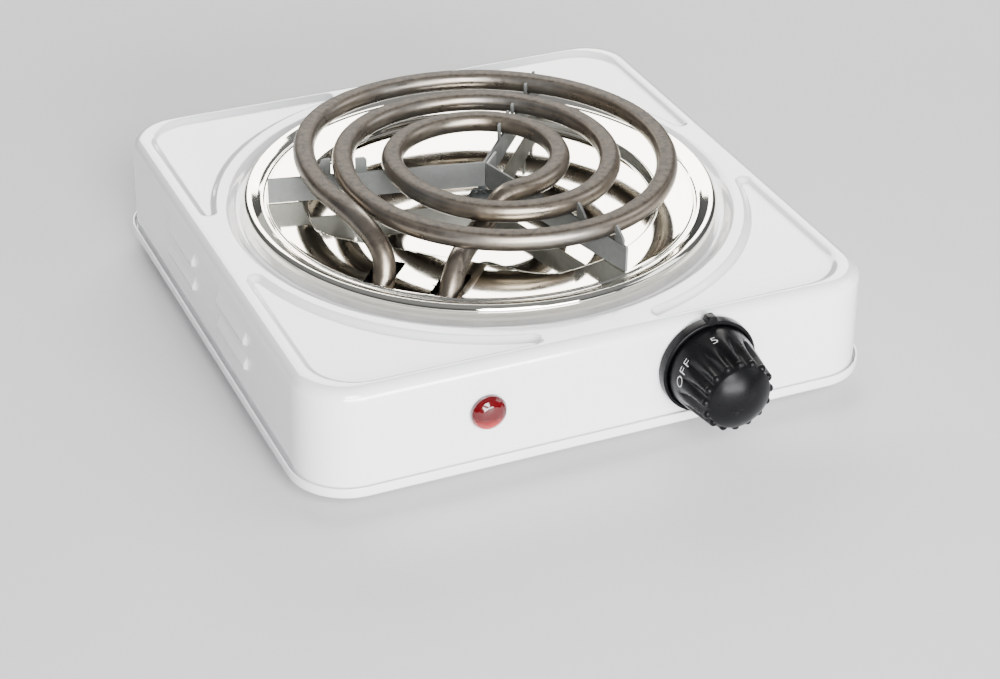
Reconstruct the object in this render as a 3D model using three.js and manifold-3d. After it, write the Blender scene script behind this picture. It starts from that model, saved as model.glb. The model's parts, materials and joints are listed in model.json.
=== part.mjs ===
// Single-coil electric hot plate: a pressed steel case on rubber feet, a chromed drip pan,
// a spiral heating coil on a three-armed support, a thermostat with its knob, a pilot lamp
// and the wiring between them. Millimetres, +Z up, the knob faces -Y.
import * as THREE from "three";
import { mergeVertices } from "three/addons/utils/BufferGeometryUtils.js";
import Module from "manifold-3d";

const wasm = await Module();
wasm.setup();

// ---------------------------------------------------------------- driving dimensions
// Heights are measured from the underside of the bottom cover; the feet hang below it.
const GAP = 0.3; // left between two pieces that touch
const SHEET = 0.8; // steel of the case, the cover, the pan and the shield

const CASE_WIDTH = 230; // over the bottom cover's rim, along X
const CASE_DEPTH = 235; // over the bottom cover's rim, along Y
const CASE_HEIGHT = 42.5;
const CASE_CORNER = 22.5;
const CORNER_STEPS = 4;
const RIM_HEIGHT = 4.1;
const WALL_INSET = 1.8; // from the rim's outside to the housing's wall
const WALL_DRAFT = 0.5;
const TOP_FILLET = 5;
const FILLET_STEPS = 3;

const PANEL_DEPTH = 2; // the four pressed panels in the corners of the top face
const PANEL_SLOPE = 3.5;
const PANEL_HALF_X = 106.5;
const PANEL_HALF_Y = 110;
const PANEL_CORNER = 20;
const PANEL_TIP = 4;
const PANEL_ARC_RADIUS = 101.4; // their edge beside the pan, about a centre a little off the pan's
const PANEL_ARC_CENTRE = 3.7;

const LOUVRE_LENGTH = 34;
const LOUVRE_Y = 31;
const LOUVRE_ROWS = [19.5, 30];

const FOOT_HEIGHT = 8;
const FOOT_RADIUS = 9;
const FOOT_X = 92;
const FOOT_Y = 94;

const SEAT_DEPTH = 3.1; // the pan's seat, pressed down into the top face
const SEAT_RIM_RADIUS = 100.2;
const SEAT_FLAT_RADIUS = 95;
const SEAT_SEGMENTS = 48;
const PAN_OPENING_RADIUS = 90; // the hole in the seat

const PAN_RADIUS = 93.9;
const PAN_TOP = 46.5;
const LEDGE_Z = 44.4;
const LEDGE_RADIUS = 82.8;
const LEDGE_GROOVE = 0.3; // depth of the fine groove between the ledge and the rolled rim
const WELL_RADIUS = 70; // the sunken floor, cut off straight beside the coil's ends
const WELL_CHORD = 53.5;
const WELL_SLOPE = 2;
const WELL_FLOOR_Z = 40.8;
const SLOT_FROM = 63;
const SLOT_TO = 81.5;
const SLOT_HALF_WIDTH = 5.2;

const SHIELD_RADIUS = 70.8;
const SHIELD_Z = 34;
const SHIELD_CHORD = 57;

const LEAD_AZIMUTH = -132; // the side where the coil's two ends go down, degrees from +X
const LEAD_OFFSET = 13; // of each end from that line
const LEAD_Z = 34; // of both ends inside the case
const LEAD_END = 104;
const TUBE_RADIUS = 4.2;
const TUBE_SIDES = 10;
const COIL_Z = 59.6; // the coil's centre line
const COIL_TOP_Z = 63.2; // its pressed flat top
const OUTER_TURN = 72.5;
const MIDDLE_TURN = 50.3;
const INNER_TURN = 34.9;
const LAST_TURN = 30.2;
const BACK_DIP = 2.6; // the outer turn is this much flatter at the back

const STRIP = 1; // thickness of the support's strips
const HUB_OFFSET = 4.5; // the strips meet this far behind the centre screw
const ARM_END = 83;
const ARM_AZIMUTHS = { left: -63.2, back: 182, side: 59.3 }; // in the burner's frame
const ARM_TOP_Z = COIL_Z - TUBE_RADIUS - GAP;
const ARM_BOTTOM_Z = LEDGE_Z + GAP;
const SEAT_HALF = TUBE_RADIUS + 0.6;
const FINGER_WIDTH = 2.2;
const FINGER_TOP_Z = 62;
const TAB_INNER_WIDTH = 4.5; // the part of the left arm's tab inside the middle turn
const LEAF_WIDTH = 4.8;
const LEAF_SHOULDER = 3.2;

const KNOB_X = 39.5;
const LAMP_X = -46.8;
const CONTROL_Z = 23.3;
const BEZEL_RADIUS = 18.8;
const BEZEL_DEPTH = 4.6;
const KNOB_BASE = 2.4; // the knob's back edge stands inside the bezel
const KNOB_FRONT = 32;
const GRIP_RIBS = 16;
const SHAFT_RADIUS = 3;
const CONTROL_SCREW_X = 11; // of the thermostat's two screws from the shaft

const LENS_RADIUS = 6.8;
const LENS_SHANK = 5;

const GLAND_X = -60;
const GLAND_Z = 21;
const GLAND_BORE = 3.6;
const GLAND_NECK = 6.2;
const GLAND_OUT = 5;

const BLOCK = { x: -45, y: 75, width: 30, depth: 16, height: 12 };
const BLOCK_WAYS = { neutral: -10, live: 0, earth: 10 }; // from the block's middle, along X
const BLOCK_WAY_Z = 7;
const BLOCK_SCREW_X = -50;
const EARTH = { x: -12, y: 75 };

const WIRE_RADIUS = 1.3;
const LAMP_LEAD_RADIUS = 0.8;
const SCREW_HOLE = 1.9; // for the small screws
const FOOT_SCREW_HOLE = 2.3;

// ---------------------------------------------------------------- places that follow
const WALL_X = CASE_WIDTH / 2 - WALL_INSET;
const WALL_Y = CASE_DEPTH / 2 - WALL_INSET;
const HOUSING_BOTTOM = SHEET + GAP;
const draftAt = (z) => (WALL_DRAFT * z) / CASE_HEIGHT;
const FRONT_Y = -(WALL_Y - draftAt(CONTROL_Z)); // the front wall's outside at the controls
const REAR_Y = WALL_Y - draftAt(GLAND_Z);
const LIFT = FOOT_HEIGHT;
const SHIFT_Y = (KNOB_FRONT - FRONT_Y - (REAR_Y + GLAND_OUT)) / 2; // centres the whole along Y

const SEAT_Z = CASE_HEIGHT - SEAT_DEPTH;
const TAB_TOP = WELL_FLOOR_Z + GAP + STRIP; // the support's foot under the centre screw
const SHIELD_BOSS_Z = WELL_FLOOR_Z - SHEET - GAP;
const NUT_TOP = SHIELD_BOSS_Z - SHEET - GAP;
const THERMOSTAT_FRONT = -(SHEET + GAP + 1.2 + GAP); // behind the bracket, out from the wall
const THERMOSTAT_DEPTH = 18;

const { degToRad, radToDeg, smoothstep } = THREE.MathUtils;

// ---------------------------------------------------------------- materials
function material(color, roughness, metalness) {
  return new THREE.MeshStandardMaterial({ color, roughness, metalness });
}
const whiteEnamel = material(0xeeeef0, 0.25, 0.1);
const chrome = material(0xd9d8d2, 0.08, 1);
const sheath = material(0x8f877c, 0.35, 1);
const zinc = material(0x8b8f8d, 0.4, 1);
const blackPlastic = material(0x121212, 0.3, 0);
const blackRubber = material(0x1b1b1b, 0.85, 0);
const redPlastic = material(0x8f0c10, 0.1, 0);
const ceramic = material(0xe9e3d6, 0.6, 0);
const glass = material(0xf4e3d8, 0.1, 0);
const wireSleeve = material(0xc9c2b4, 0.8, 0);
const earthSleeve = material(0x5f8f3a, 0.8, 0);
const brass = material(0xb8954a, 0.35, 1);

// ---------------------------------------------------------------- shape helpers
// A closed three.js geometry as a manifold-3d solid.
function solid(geometry) {
  const bare = geometry.clone();
  bare.deleteAttribute("normal");
  bare.deleteAttribute("uv");
  const merged = mergeVertices(bare, 1e-4);
  return new wasm.Manifold(
    new wasm.Mesh({
      numProp: 3,
      vertProperties: merged.attributes.position.array,
      triVerts: new Uint32Array(merged.index.array),
    }),
  );
}

function geometryOf(body) {
  const mesh = body.getMesh();
  return new THREE.BufferGeometry()
    .setAttribute("position", new THREE.BufferAttribute(mesh.vertProperties, 3))
    .setIndex(new THREE.BufferAttribute(mesh.triVerts, 1));
}

const joined = (first, ...others) => others.reduce((body, other) => body.add(other), first);
const cut = (first, ...others) => others.reduce((body, other) => body.subtract(other), first);

// A solid of revolution about +Z. Its profile is a list of [radius, height] that either starts
// and ends on the axis or is closed here; it may run either way round.
function turned(profile, segments) {
  const points = profile.map(([radius, z]) => new THREE.Vector2(radius, z));
  if (THREE.ShapeUtils.area(points) < 0) points.reverse();
  const onAxis = points[0].x === 0 && points[points.length - 1].x === 0;
  if (!onAxis) points.push(points[0].clone());
  return new THREE.LatheGeometry(points, segments).rotateX(Math.PI / 2);
}

function rod(radius, from, to, segments = 24) {
  return turned([[0, from], [radius, from], [radius, to], [0, to]], segments);
}

function box([x0, x1], [y0, y1], [z0, z1]) {
  const middle = [(x0 + x1) / 2, (y0 + y1) / 2, (z0 + z1) / 2];
  return new THREE.BoxGeometry(x1 - x0, y1 - y0, z1 - z0).translate(...middle);
}

// An outline of [x, y] points, made this thick along +Z from z = 0.
function slab(points, thickness) {
  const shape = new THREE.Shape(points.map(([x, y]) => new THREE.Vector2(x, y)));
  return new THREE.ExtrudeGeometry(shape, { depth: thickness, bevelEnabled: false });
}

// An outline in (x, z), made this thick along Y and centred on y = 0.
function upright(points, thickness) {
  return slab(points, thickness).translate(0, 0, -thickness / 2).rotateX(Math.PI / 2);
}

// A round bar along a smooth curve through the points.
function tube(points, radius, sides, steps) {
  const vectors = points.map((point) => new THREE.Vector3(...point));
  const path = new THREE.CatmullRomCurve3(vectors, false, "centripetal");
  const section = new THREE.Shape().absarc(0, 0, radius, 0, 2 * Math.PI);
  const options = { extrudePath: path, steps, curveSegments: sides / 2 };
  return new THREE.ExtrudeGeometry(section, options);
}

function arc(cx, cy, radius, from, to, steps) {
  return Array.from({ length: steps + 1 }, (_, i) => {
    const angle = degToRad(from + ((to - from) * i) / steps);
    return [cx + radius * Math.cos(angle), cy + radius * Math.sin(angle)];
  });
}

function roundedRectangle(halfX, halfY, radius) {
  const corners = [[1, 1, 0], [-1, 1, 90], [-1, -1, 180], [1, -1, 270]];
  return corners.flatMap(([sx, sy, from]) =>
    arc(sx * (halfX - radius), sy * (halfY - radius), radius, from, from + 90, CORNER_STEPS),
  );
}

// A closed solid through outlines of equally many points, as { z, points } from the bottom up.
function loft(levels) {
  const count = levels[0].points.length;
  const outline = levels[0].points.map(([x, y]) => new THREE.Vector2(x, y));
  const top = (levels.length - 1) * count;
  const index = [];
  for (let start = 0; start < top; start += count) {
    for (let i = 0; i < count; i += 1) {
      const a = start + i;
      const b = start + ((i + 1) % count);
      index.push(a, b, b + count, a, b + count, a + count);
    }
  }
  for (const [a, b, c] of THREE.ShapeUtils.triangulateShape(outline, [])) {
    index.push(a, c, b, top + a, top + b, top + c);
  }
  const positions = levels.flatMap(({ z, points }) => points.flatMap(([x, y]) => [x, y, z]));
  return new THREE.BufferGeometry()
    .setAttribute("position", new THREE.Float32BufferAttribute(positions, 3))
    .setIndex(index);
}

// Moves a shape made about +Z so that its axis runs out of the front wall, and one out of the rear.
const outOfFront = (geometry, x) => geometry.rotateX(Math.PI / 2).translate(x, FRONT_Y, CONTROL_Z);
const outOfRear = (geometry) => geometry.rotateX(-Math.PI / 2).translate(GLAND_X, REAR_Y, GLAND_Z);

// A cross-head screw: its head below z = 0, its shank above.
function screw(headRadius, headHeight, shankRadius, length) {
  const blank = turned(
    [
      [0, -headHeight],
      [headRadius * 0.65, -headHeight],
      [headRadius, -headHeight * 0.45],
      [headRadius, 0],
      [shankRadius, 0],
      [shankRadius, length - shankRadius],
      [0, length],
    ],
    10,
  );
  const reach = headRadius * 0.55;
  const recess = [-headHeight - 1, -headHeight + 0.8];
  const slot = box([-reach, reach], [-0.5, 0.5], recess);
  const crossing = box([-0.5, 0.5], [-reach, reach], recess);
  return geometryOf(cut(solid(blank), solid(slot), solid(crossing)));
}

// ---------------------------------------------------------------- the case
// The housing's outer form drawn in by `inset`, from `bottom` up to the top face.
function caseForm(inset, bottom) {
  const outline = (pull) => {
    const corner = CASE_CORNER - WALL_INSET - inset - pull;
    return roundedRectangle(WALL_X - inset - pull, WALL_Y - inset - pull, corner);
  };
  const fillet = TOP_FILLET - inset;
  const levels = [{ z: bottom, points: outline(0) }];
  for (let i = 0; i <= FILLET_STEPS; i += 1) {
    const angle = (i / FILLET_STEPS) * (Math.PI / 2);
    levels.push({
      z: CASE_HEIGHT - inset - fillet * (1 - Math.sin(angle)),
      points: outline(WALL_DRAFT + fillet * (1 - Math.cos(angle))),
    });
  }
  return solid(loft(levels));
}

// The outline of one corner panel, drawn in by `inset`.
function panelOutline(signX, signY, inset) {
  const x = PANEL_HALF_X - inset;
  const y = PANEL_HALF_Y - inset;
  const corner = PANEL_CORNER - inset;
  const ring = PANEL_ARC_RADIUS + inset;
  const tipDistance = ring + PANEL_TIP;
  const tipX = x - PANEL_TIP;
  const tipY = y - PANEL_TIP;
  const sideAngle = radToDeg(Math.acos(tipX / tipDistance));
  const endAngle = radToDeg(Math.asin((tipY - PANEL_ARC_CENTRE) / tipDistance));
  const endX = tipDistance * Math.cos(degToRad(endAngle));
  const sideY = PANEL_ARC_CENTRE + tipDistance * Math.sin(degToRad(sideAngle));
  const points = [
    ...arc(x - corner, y - corner, corner, 0, 90, CORNER_STEPS),
    ...arc(endX, tipY, PANEL_TIP, 90, 180 + endAngle, 3),
    ...arc(0, PANEL_ARC_CENTRE, ring, endAngle, sideAngle, CORNER_STEPS).slice(1, -1),
    ...arc(tipX, sideY, PANEL_TIP, 180 + sideAngle, 360, 3),
  ].map(([px, py]) => [signX * px, signY * py]);
  return signX * signY > 0 ? points : points.reverse();
}

// The four spaces pressed out of the top face, each grown by `skin` for the sheet's underside.
function panels(skin) {
  const corners = [[1, 1], [-1, 1], [-1, -1], [1, -1]];
  return corners.map(([signX, signY]) =>
    solid(
      loft([
        { z: CASE_HEIGHT - PANEL_DEPTH - skin, points: panelOutline(signX, signY, PANEL_SLOPE - skin) },
        { z: CASE_HEIGHT - skin, points: panelOutline(signX, signY, -skin) },
        { z: CASE_HEIGHT + 1, points: panelOutline(signX, signY, -skin) },
      ]),
    ),
  );
}

// A louvre in the side wall: its hood, and the way through under the hood.
function louvre(side, y, z) {
  const wall = side * (WALL_X - draftAt(z));
  const lay = (outline, length) =>
    solid(upright(outline.map(([out, up]) => [side * out, up]), length).translate(wall, y, z));
  const hood = [[-0.6, 3.4], [0, 3.4], [1.5, -1.2], [1.5, -2.8], [-0.6, -2.8]];
  const way = [[-1.4, 2.2], [-0.4, 2.2], [0.7, -1.2], [0.7, -3.4], [-1.4, -3.4]];
  return { hood: lay(hood, LOUVRE_LENGTH), way: lay(way, LOUVRE_LENGTH - 2 * SHEET) };
}

const cornerSigns = { front_left: [-1, -1], front_right: [1, -1], rear_left: [-1, 1], rear_right: [1, 1] };

// The lugs inside the lower edge that the foot screws hold.
function footLugs() {
  return Object.values(cornerSigns).map(([sx, sy]) => {
    const xs = [sx * (FOOT_X - 8), sx * WALL_X].sort((a, b) => a - b);
    const ys = [sy * FOOT_Y - 8, sy * FOOT_Y + 8];
    return solid(box(xs, ys, [HOUSING_BOTTOM, HOUSING_BOTTOM + SHEET]));
  });
}

function footHoles() {
  return Object.values(cornerSigns).map(([sx, sy]) =>
    solid(rod(FOOT_SCREW_HOLE, -1, 4, 12).translate(sx * FOOT_X, sy * FOOT_Y, 0)),
  );
}

// The sheet pressed down round the pan's opening, which the pan's skirt stands on.
function panSeat() {
  const join = SEAT_RIM_RADIUS + SHEET;
  const profile = [
    [PAN_OPENING_RADIUS, SEAT_Z],
    [SEAT_FLAT_RADIUS, SEAT_Z],
    [SEAT_RIM_RADIUS, CASE_HEIGHT],
    [join, CASE_HEIGHT],
    [join, CASE_HEIGHT - SHEET],
    [SEAT_RIM_RADIUS, CASE_HEIGHT - SHEET],
    [SEAT_FLAT_RADIUS + 0.3, SEAT_Z - SHEET],
    [PAN_OPENING_RADIUS, SEAT_Z - SHEET],
  ];
  return solid(turned(profile, SEAT_SEGMENTS));
}

function housing() {
  const form = caseForm(0, HOUSING_BOTTOM);
  const shell = cut(form, ...panels(0), cut(caseForm(SHEET, -1), ...panels(SHEET)));
  const louvres = [-1, 1].flatMap((side) =>
    [-LOUVRE_Y, LOUVRE_Y].flatMap((y) => LOUVRE_ROWS.map((z) => louvre(side, y, z))),
  );
  const withHoods = joined(shell, ...louvres.map(({ hood }) => hood));
  const vented = cut(withHoods, ...louvres.map(({ way }) => way));
  const open = cut(vented, solid(rod(SEAT_RIM_RADIUS, SEAT_Z - SHEET, CASE_HEIGHT + 1, SEAT_SEGMENTS)));
  const frontHole = (radius, x) => solid(outOfFront(rod(radius, -8, 8, 16), x));
  return cut(
    joined(open, panSeat(), ...footLugs().map((lug) => lug.intersect(form))),
    frontHole(SHAFT_RADIUS + 2, KNOB_X),
    frontHole(SCREW_HOLE, KNOB_X - CONTROL_SCREW_X),
    frontHole(SCREW_HOLE, KNOB_X + CONTROL_SCREW_X),
    frontHole(LENS_SHANK + GAP, LAMP_X),
    solid(outOfRear(rod(GLAND_NECK + GAP, -8, 8, 16))),
    ...footHoles(),
  );
}

// The vent slots of the bottom cover: two columns of rounded slots.
function ventSlots() {
  const outline = [...arc(22, 0, 2.5, -90, 90, 4), ...arc(-22, 0, 2.5, 90, 270, 4)];
  return [-40, 40].flatMap((x) =>
    [-28, -14, 0, 14, 28].map((y) => solid(slab(outline, 4).translate(x, y, -1))),
  );
}

function bottomCover() {
  const edge = SHEET; // its rounded lower edge
  const ring = (inset) =>
    roundedRectangle(CASE_WIDTH / 2 - inset, CASE_DEPTH / 2 - inset, CASE_CORNER - inset);
  const tray = loft([
    { z: 0, points: ring(edge) },
    { z: edge, points: ring(0) },
    { z: RIM_HEIGHT, points: ring(0) },
  ]);
  const inside = loft([
    { z: SHEET, points: ring(edge + SHEET) },
    { z: edge + SHEET, points: ring(SHEET) },
    { z: RIM_HEIGHT + 1, points: ring(SHEET) },
  ]);
  const hole = (x, y) => solid(rod(SCREW_HOLE, -1, 3, 12).translate(x, y, 0));
  return cut(
    solid(tray),
    solid(inside),
    ...ventSlots(),
    ...footHoles(),
    hole(BLOCK_SCREW_X, BLOCK.y),
    hole(EARTH.x, EARTH.y),
  );
}

// A moulded foot; its deep counterbore hides the screw.
function foot() {
  const seat = -4;
  return turned(
    [
      [FOOT_SCREW_HOLE, -GAP],
      [FOOT_RADIUS, -GAP],
      [FOOT_RADIUS - 0.6, 1 - FOOT_HEIGHT],
      [FOOT_RADIUS - 1.6, -FOOT_HEIGHT],
      [4.6, -FOOT_HEIGHT],
      [4.6, seat],
      [FOOT_SCREW_HOLE, seat],
    ],
    16,
  );
}

// ---------------------------------------------------------------- the pan and the shield
// From here to the supports, shapes are in the burner's own frame, whose +X runs from the centre
// to the coil's ends.
const inBurner = (geometry) => geometry.rotateZ(degToRad(LEAD_AZIMUTH));

function burnerPoint(x, y, z) {
  return new THREE.Vector3(x, y, z).applyAxisAngle(new THREE.Vector3(0, 0, 1), degToRad(LEAD_AZIMUTH)).toArray();
}

function wellOutline(inset) {
  const radius = WELL_RADIUS - inset;
  const half = radToDeg(Math.acos((WELL_CHORD - inset) / radius));
  return arc(0, 0, radius, half, 360 - half, 30);
}

function dripPan() {
  const skirtFoot = SEAT_Z + GAP;
  const under = LEDGE_Z - SHEET;
  const upperFace = [
    [PAN_RADIUS, skirtFoot],
    [PAN_RADIUS - 0.3, LEDGE_Z - 0.2],
    [PAN_RADIUS - 1.1, PAN_TOP - 0.7],
    [PAN_RADIUS - 2.7, PAN_TOP],
    [PAN_RADIUS - 4.4, PAN_TOP - 0.2],
    [PAN_RADIUS - 6.9, LEDGE_Z + 0.8],
    [LEDGE_RADIUS + 2.7, LEDGE_Z + 0.2],
    [LEDGE_RADIUS + 1.2, LEDGE_Z - LEDGE_GROOVE],
    [LEDGE_RADIUS, LEDGE_Z],
    [0, LEDGE_Z],
  ];
  const underFace = [
    [0, under],
    [LEDGE_RADIUS - 0.2, under],
    [LEDGE_RADIUS + 1.3, under - LEDGE_GROOVE],
    [LEDGE_RADIUS + 3, under + 0.2],
    [PAN_RADIUS - 6.5, under + 0.8],
    [PAN_RADIUS - 4.2, PAN_TOP - 0.2 - SHEET],
    [PAN_RADIUS - 2.7, PAN_TOP - SHEET],
    [PAN_RADIUS - 1.7, PAN_TOP - 1.3],
    [PAN_RADIUS - 0.3 - SHEET, LEDGE_Z - 0.4],
    [PAN_RADIUS - SHEET, skirtFoot],
  ];
  const dish = solid(turned([...upperFace, ...underFace], 44));
  const well = solid(
    loft([
      { z: WELL_FLOOR_Z - SHEET, points: wellOutline(WELL_SLOPE - SHEET / 2) },
      { z: LEDGE_Z - SHEET / 2, points: wellOutline(-SHEET / 2) },
    ]),
  );
  const wellSpace = solid(
    loft([
      { z: WELL_FLOOR_Z, points: wellOutline(WELL_SLOPE) },
      { z: LEDGE_Z, points: wellOutline(0) },
      { z: PAN_TOP, points: wellOutline(0) },
    ]),
  );
  const slots = [-LEAD_OFFSET, LEAD_OFFSET].map((y) =>
    solid(box([SLOT_FROM, SLOT_TO], [y - SLOT_HALF_WIDTH, y + SLOT_HALF_WIDTH], [38, 52])),
  );
  const pan = cut(joined(dish, well), wellSpace, ...slots, solid(rod(FOOT_SCREW_HOLE, 30, 50, 12)));
  return inBurner(geometryOf(pan));
}

// A dished plate under the pan, raised in the middle to meet it and open where the coil comes down.
function heatShield() {
  const plate = turned(
    [
      [0, SHIELD_BOSS_Z],
      [12, SHIELD_BOSS_Z],
      [20, SHIELD_Z],
      [SHIELD_RADIUS - SHEET, SHIELD_Z],
      [SHIELD_RADIUS, SHIELD_Z - SHEET],
      [SHIELD_RADIUS, SHIELD_Z - 5],
      [SHIELD_RADIUS - SHEET, SHIELD_Z - 5],
      [SHIELD_RADIUS - SHEET, SHIELD_Z - SHEET],
      [19.6, SHIELD_Z - SHEET],
      [11.6, SHIELD_BOSS_Z - SHEET],
      [0, SHIELD_BOSS_Z - SHEET],
    ],
    32,
  );
  const opening = box([SHIELD_CHORD, SHIELD_RADIUS + 5], [-80, 80], [20, 50]);
  return inBurner(geometryOf(cut(solid(plate), solid(opening), solid(rod(FOOT_SCREW_HOLE, 20, 50, 12)))));
}

// ---------------------------------------------------------------- the coil
// The radius of its centre line after this many degrees, counted clockwise from the burner's +X.
function turnRadius(degrees) {
  const start = 66 + (OUTER_TURN - 66) * smoothstep(degrees, 45, 105);
  const dip = BACK_DIP * (smoothstep(degrees, 100, 150) - smoothstep(degrees, 165, 235));
  const toMiddle = (OUTER_TURN - MIDDLE_TURN - 3.3) * smoothstep(degrees, 278, 430);
  const aroundLeft = 3.3 * smoothstep(degrees, 440, 510);
  const toInner = (MIDDLE_TURN - INNER_TURN) * smoothstep(degrees, 640, 770);
  const toBack = 3.5 * smoothstep(degrees, 765, 870);
  const toLast = (INNER_TURN - 3.5 - LAST_TURN) * smoothstep(degrees, 900, 1030);
  return start - dip - toMiddle - aroundLeft - toInner - toBack - toLast;
}

// The turns from the outer end to the inner end.
function turnPoints() {
  const from = 46;
  const to = 1034;
  const count = 76;
  return Array.from({ length: count + 1 }, (_, i) => {
    const degrees = from + ((to - from) * i) / count;
    const angle = -degToRad(degrees);
    const radius = turnRadius(degrees);
    return [radius * Math.cos(angle), radius * Math.sin(angle), COIL_Z];
  });
}

// Down through a slot of the pan and on under the case's top, `side` being that of the end.
function leadDown(side) {
  const y = side * LEAD_OFFSET;
  return [
    [76, y, 39],
    [82, y, 35.2],
    [89, y, LEAD_Z],
    [LEAD_END, y, LEAD_Z],
  ];
}

function heatingCoil() {
  const outerEnd = [
    ...leadDown(-1).reverse(),
    [72.5, -LEAD_OFFSET, 44],
    [70.4, -LEAD_OFFSET - 0.8, 48.6],
    [66.8, -LEAD_OFFSET - 5, 53.6],
    [61.6, -LEAD_OFFSET - 13.2, 57.5],
    [55.8, -LEAD_OFFSET - 22, 59.3],
  ];
  const innerEnd = [
    [25.5, 18, 58.4],
    [30.3, 15.4, 55],
    [35.2, LEAD_OFFSET + 0.9, 52],
    [41.5, LEAD_OFFSET, 50.8],
    [50, LEAD_OFFSET, 50.7],
    [58.5, LEAD_OFFSET, 50.6],
    [65, LEAD_OFFSET, 49.2],
    [70.5, LEAD_OFFSET, 45.2],
    ...leadDown(1),
  ];
  const round = solid(tube([...outerEnd, ...turnPoints(), ...innerEnd], TUBE_RADIUS, TUBE_SIDES, 115));
  const pressedAway = solid(box([-90, 90], [-90, 90], [COIL_TOP_Z, COIL_TOP_Z + 5]));
  const pinHoles = [-1, 1].map((side) =>
    solid(rod(1.6, LEAD_END - 4, LEAD_END + 4, 10).rotateY(Math.PI / 2).translate(0, side * LEAD_OFFSET, LEAD_Z)),
  );
  return inBurner(geometryOf(cut(round, pressedAway, ...pinHoles)));
}

// The ceramic sleeve and the terminal pin at one end of the coil, both along the burner's +X.
function coilEndPiece(side, shape) {
  return inBurner(shape.rotateY(Math.PI / 2).translate(0, side * LEAD_OFFSET, LEAD_Z));
}

function bushing(side) {
  const back = LEAD_END + GAP;
  const sleeve = [[1.6, back], [3.8, back], [3.8, back + 3], [2.8, back + 5], [1.6, back + 5]];
  return coilEndPiece(side, turned(sleeve, 16));
}

const PIN_END = LEAD_END + 12;
const coilPin = (side) => coilEndPiece(side, rod(1.2, LEAD_END - 3.6, PIN_END, 10));

// ---------------------------------------------------------------- the coil's support
// A straight arm from `start` towards the end point at `azimuth`, as distances along it.
function armLine(start, azimuth) {
  const angle = degToRad(azimuth);
  const end = new THREE.Vector2(ARM_END * Math.cos(angle), ARM_END * Math.sin(angle));
  const from = new THREE.Vector2(...start);
  const direction = end.clone().sub(from).normalize();
  const lean = from.dot(direction);
  const along = (radius) => Math.sqrt(lean ** 2 - from.lengthSq() + radius ** 2) - lean;
  const seatAt = (winding) => {
    let distance = along(MIDDLE_TURN);
    for (let i = 0; i < 6; i += 1) {
      const point = from.clone().addScaledVector(direction, distance);
      const clockwise = (360 - radToDeg(point.angle())) % 360;
      distance = along(turnRadius(clockwise + 360 * winding));
    }
    return distance;
  };
  return { from, direction, along, seats: [0, 1, 2].map(seatAt) };
}

// The next three give the raised part of an arm's upper edge, from its outer end inwards.
// A broad tab fills the space between the outer and the middle turn and ends past the middle one.
function broadTab([outer, middle]) {
  const outerSide = outer - SEAT_HALF;
  const notch = [middle + SEAT_HALF, middle - SEAT_HALF];
  const end = notch[1] - TAB_INNER_WIDTH;
  return [
    [outerSide, ARM_TOP_Z],
    [outerSide, FINGER_TOP_Z - 1.8],
    [outerSide - 0.5, FINGER_TOP_Z - 0.5],
    [outerSide - 1.8, FINGER_TOP_Z],
    [notch[0], FINGER_TOP_Z],
    [notch[0], ARM_TOP_Z],
    [notch[1], ARM_TOP_Z],
    [notch[1], FINGER_TOP_Z - 0.6],
    [end + 1, FINGER_TOP_Z - 0.6],
    [end, FINGER_TOP_Z - 1.6],
    [end, ARM_TOP_Z],
  ];
}

// Narrow fingers on both sides of the outer and the inner turn and inside the middle one.
function narrowFingers([outer, middle, inner]) {
  const places = [[outer, 1], [outer, -1], [middle, -1], [inner, 1], [inner, -1]];
  return places.flatMap(([seat, side]) => {
    const near = seat + side * SEAT_HALF;
    const far = near + side * FINGER_WIDTH;
    const outline = [
      [near, ARM_TOP_Z],
      [near, FINGER_TOP_Z - 0.5],
      [near + side * 0.5, FINGER_TOP_Z],
      [far - side * 0.5, FINGER_TOP_Z],
      [far, FINGER_TOP_Z - 0.5],
      [far, ARM_TOP_Z],
    ];
    return side > 0 ? outline.reverse() : outline;
  });
}

// Pointed fingers on the outer side of the outer and the middle turn.
function leafFingers([outer, middle]) {
  return [outer, middle].flatMap((seat) => {
    const near = seat + SEAT_HALF;
    return [
      [near + LEAF_WIDTH, ARM_TOP_Z],
      [near + LEAF_WIDTH, ARM_TOP_Z + LEAF_SHOULDER - 1],
      [near + LEAF_WIDTH - 0.8, ARM_TOP_Z + LEAF_SHOULDER],
      [near + 1.1, FINGER_TOP_Z - 0.7],
      [near + 0.4, FINGER_TOP_Z - 0.3],
      [near, FINGER_TOP_Z - 1],
      [near, ARM_TOP_Z],
    ];
  });
}

// An upright strip that clears the screw's head and the pan, with a seat for each turn of the coil.
function arm(line, raised) {
  const end = line.along(ARM_END);
  const outline = [[0, ARM_BOTTOM_Z], [end, ARM_BOTTOM_Z], [end, ARM_TOP_Z], ...raised(line.seats), [0, ARM_TOP_Z]];
  const turn = Math.atan2(line.direction.y, line.direction.x);
  return solid(upright(outline, STRIP).rotateZ(turn).translate(line.from.x, line.from.y, 0));
}

// One strip bent at the hub makes the left and back arms; its foot lies under the centre screw.
function mainSupport() {
  const hub = [-HUB_OFFSET, 0];
  const legBack = -HUB_OFFSET - 2.1;
  const leg = box([legBack, legBack + STRIP], [-3, STRIP / 2], [TAB_TOP - STRIP, 50]);
  const footTab = box([legBack, 5.5], [-5, 5], [TAB_TOP - STRIP, TAB_TOP]);
  const strips = joined(
    arm(armLine(hub, ARM_AZIMUTHS.left), broadTab),
    arm(armLine(hub, ARM_AZIMUTHS.back), narrowFingers),
    solid(leg),
    solid(footTab),
  );
  return inBurner(geometryOf(cut(strips, solid(rod(FOOT_SCREW_HOLE, 40, 44, 12)))));
}

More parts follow.
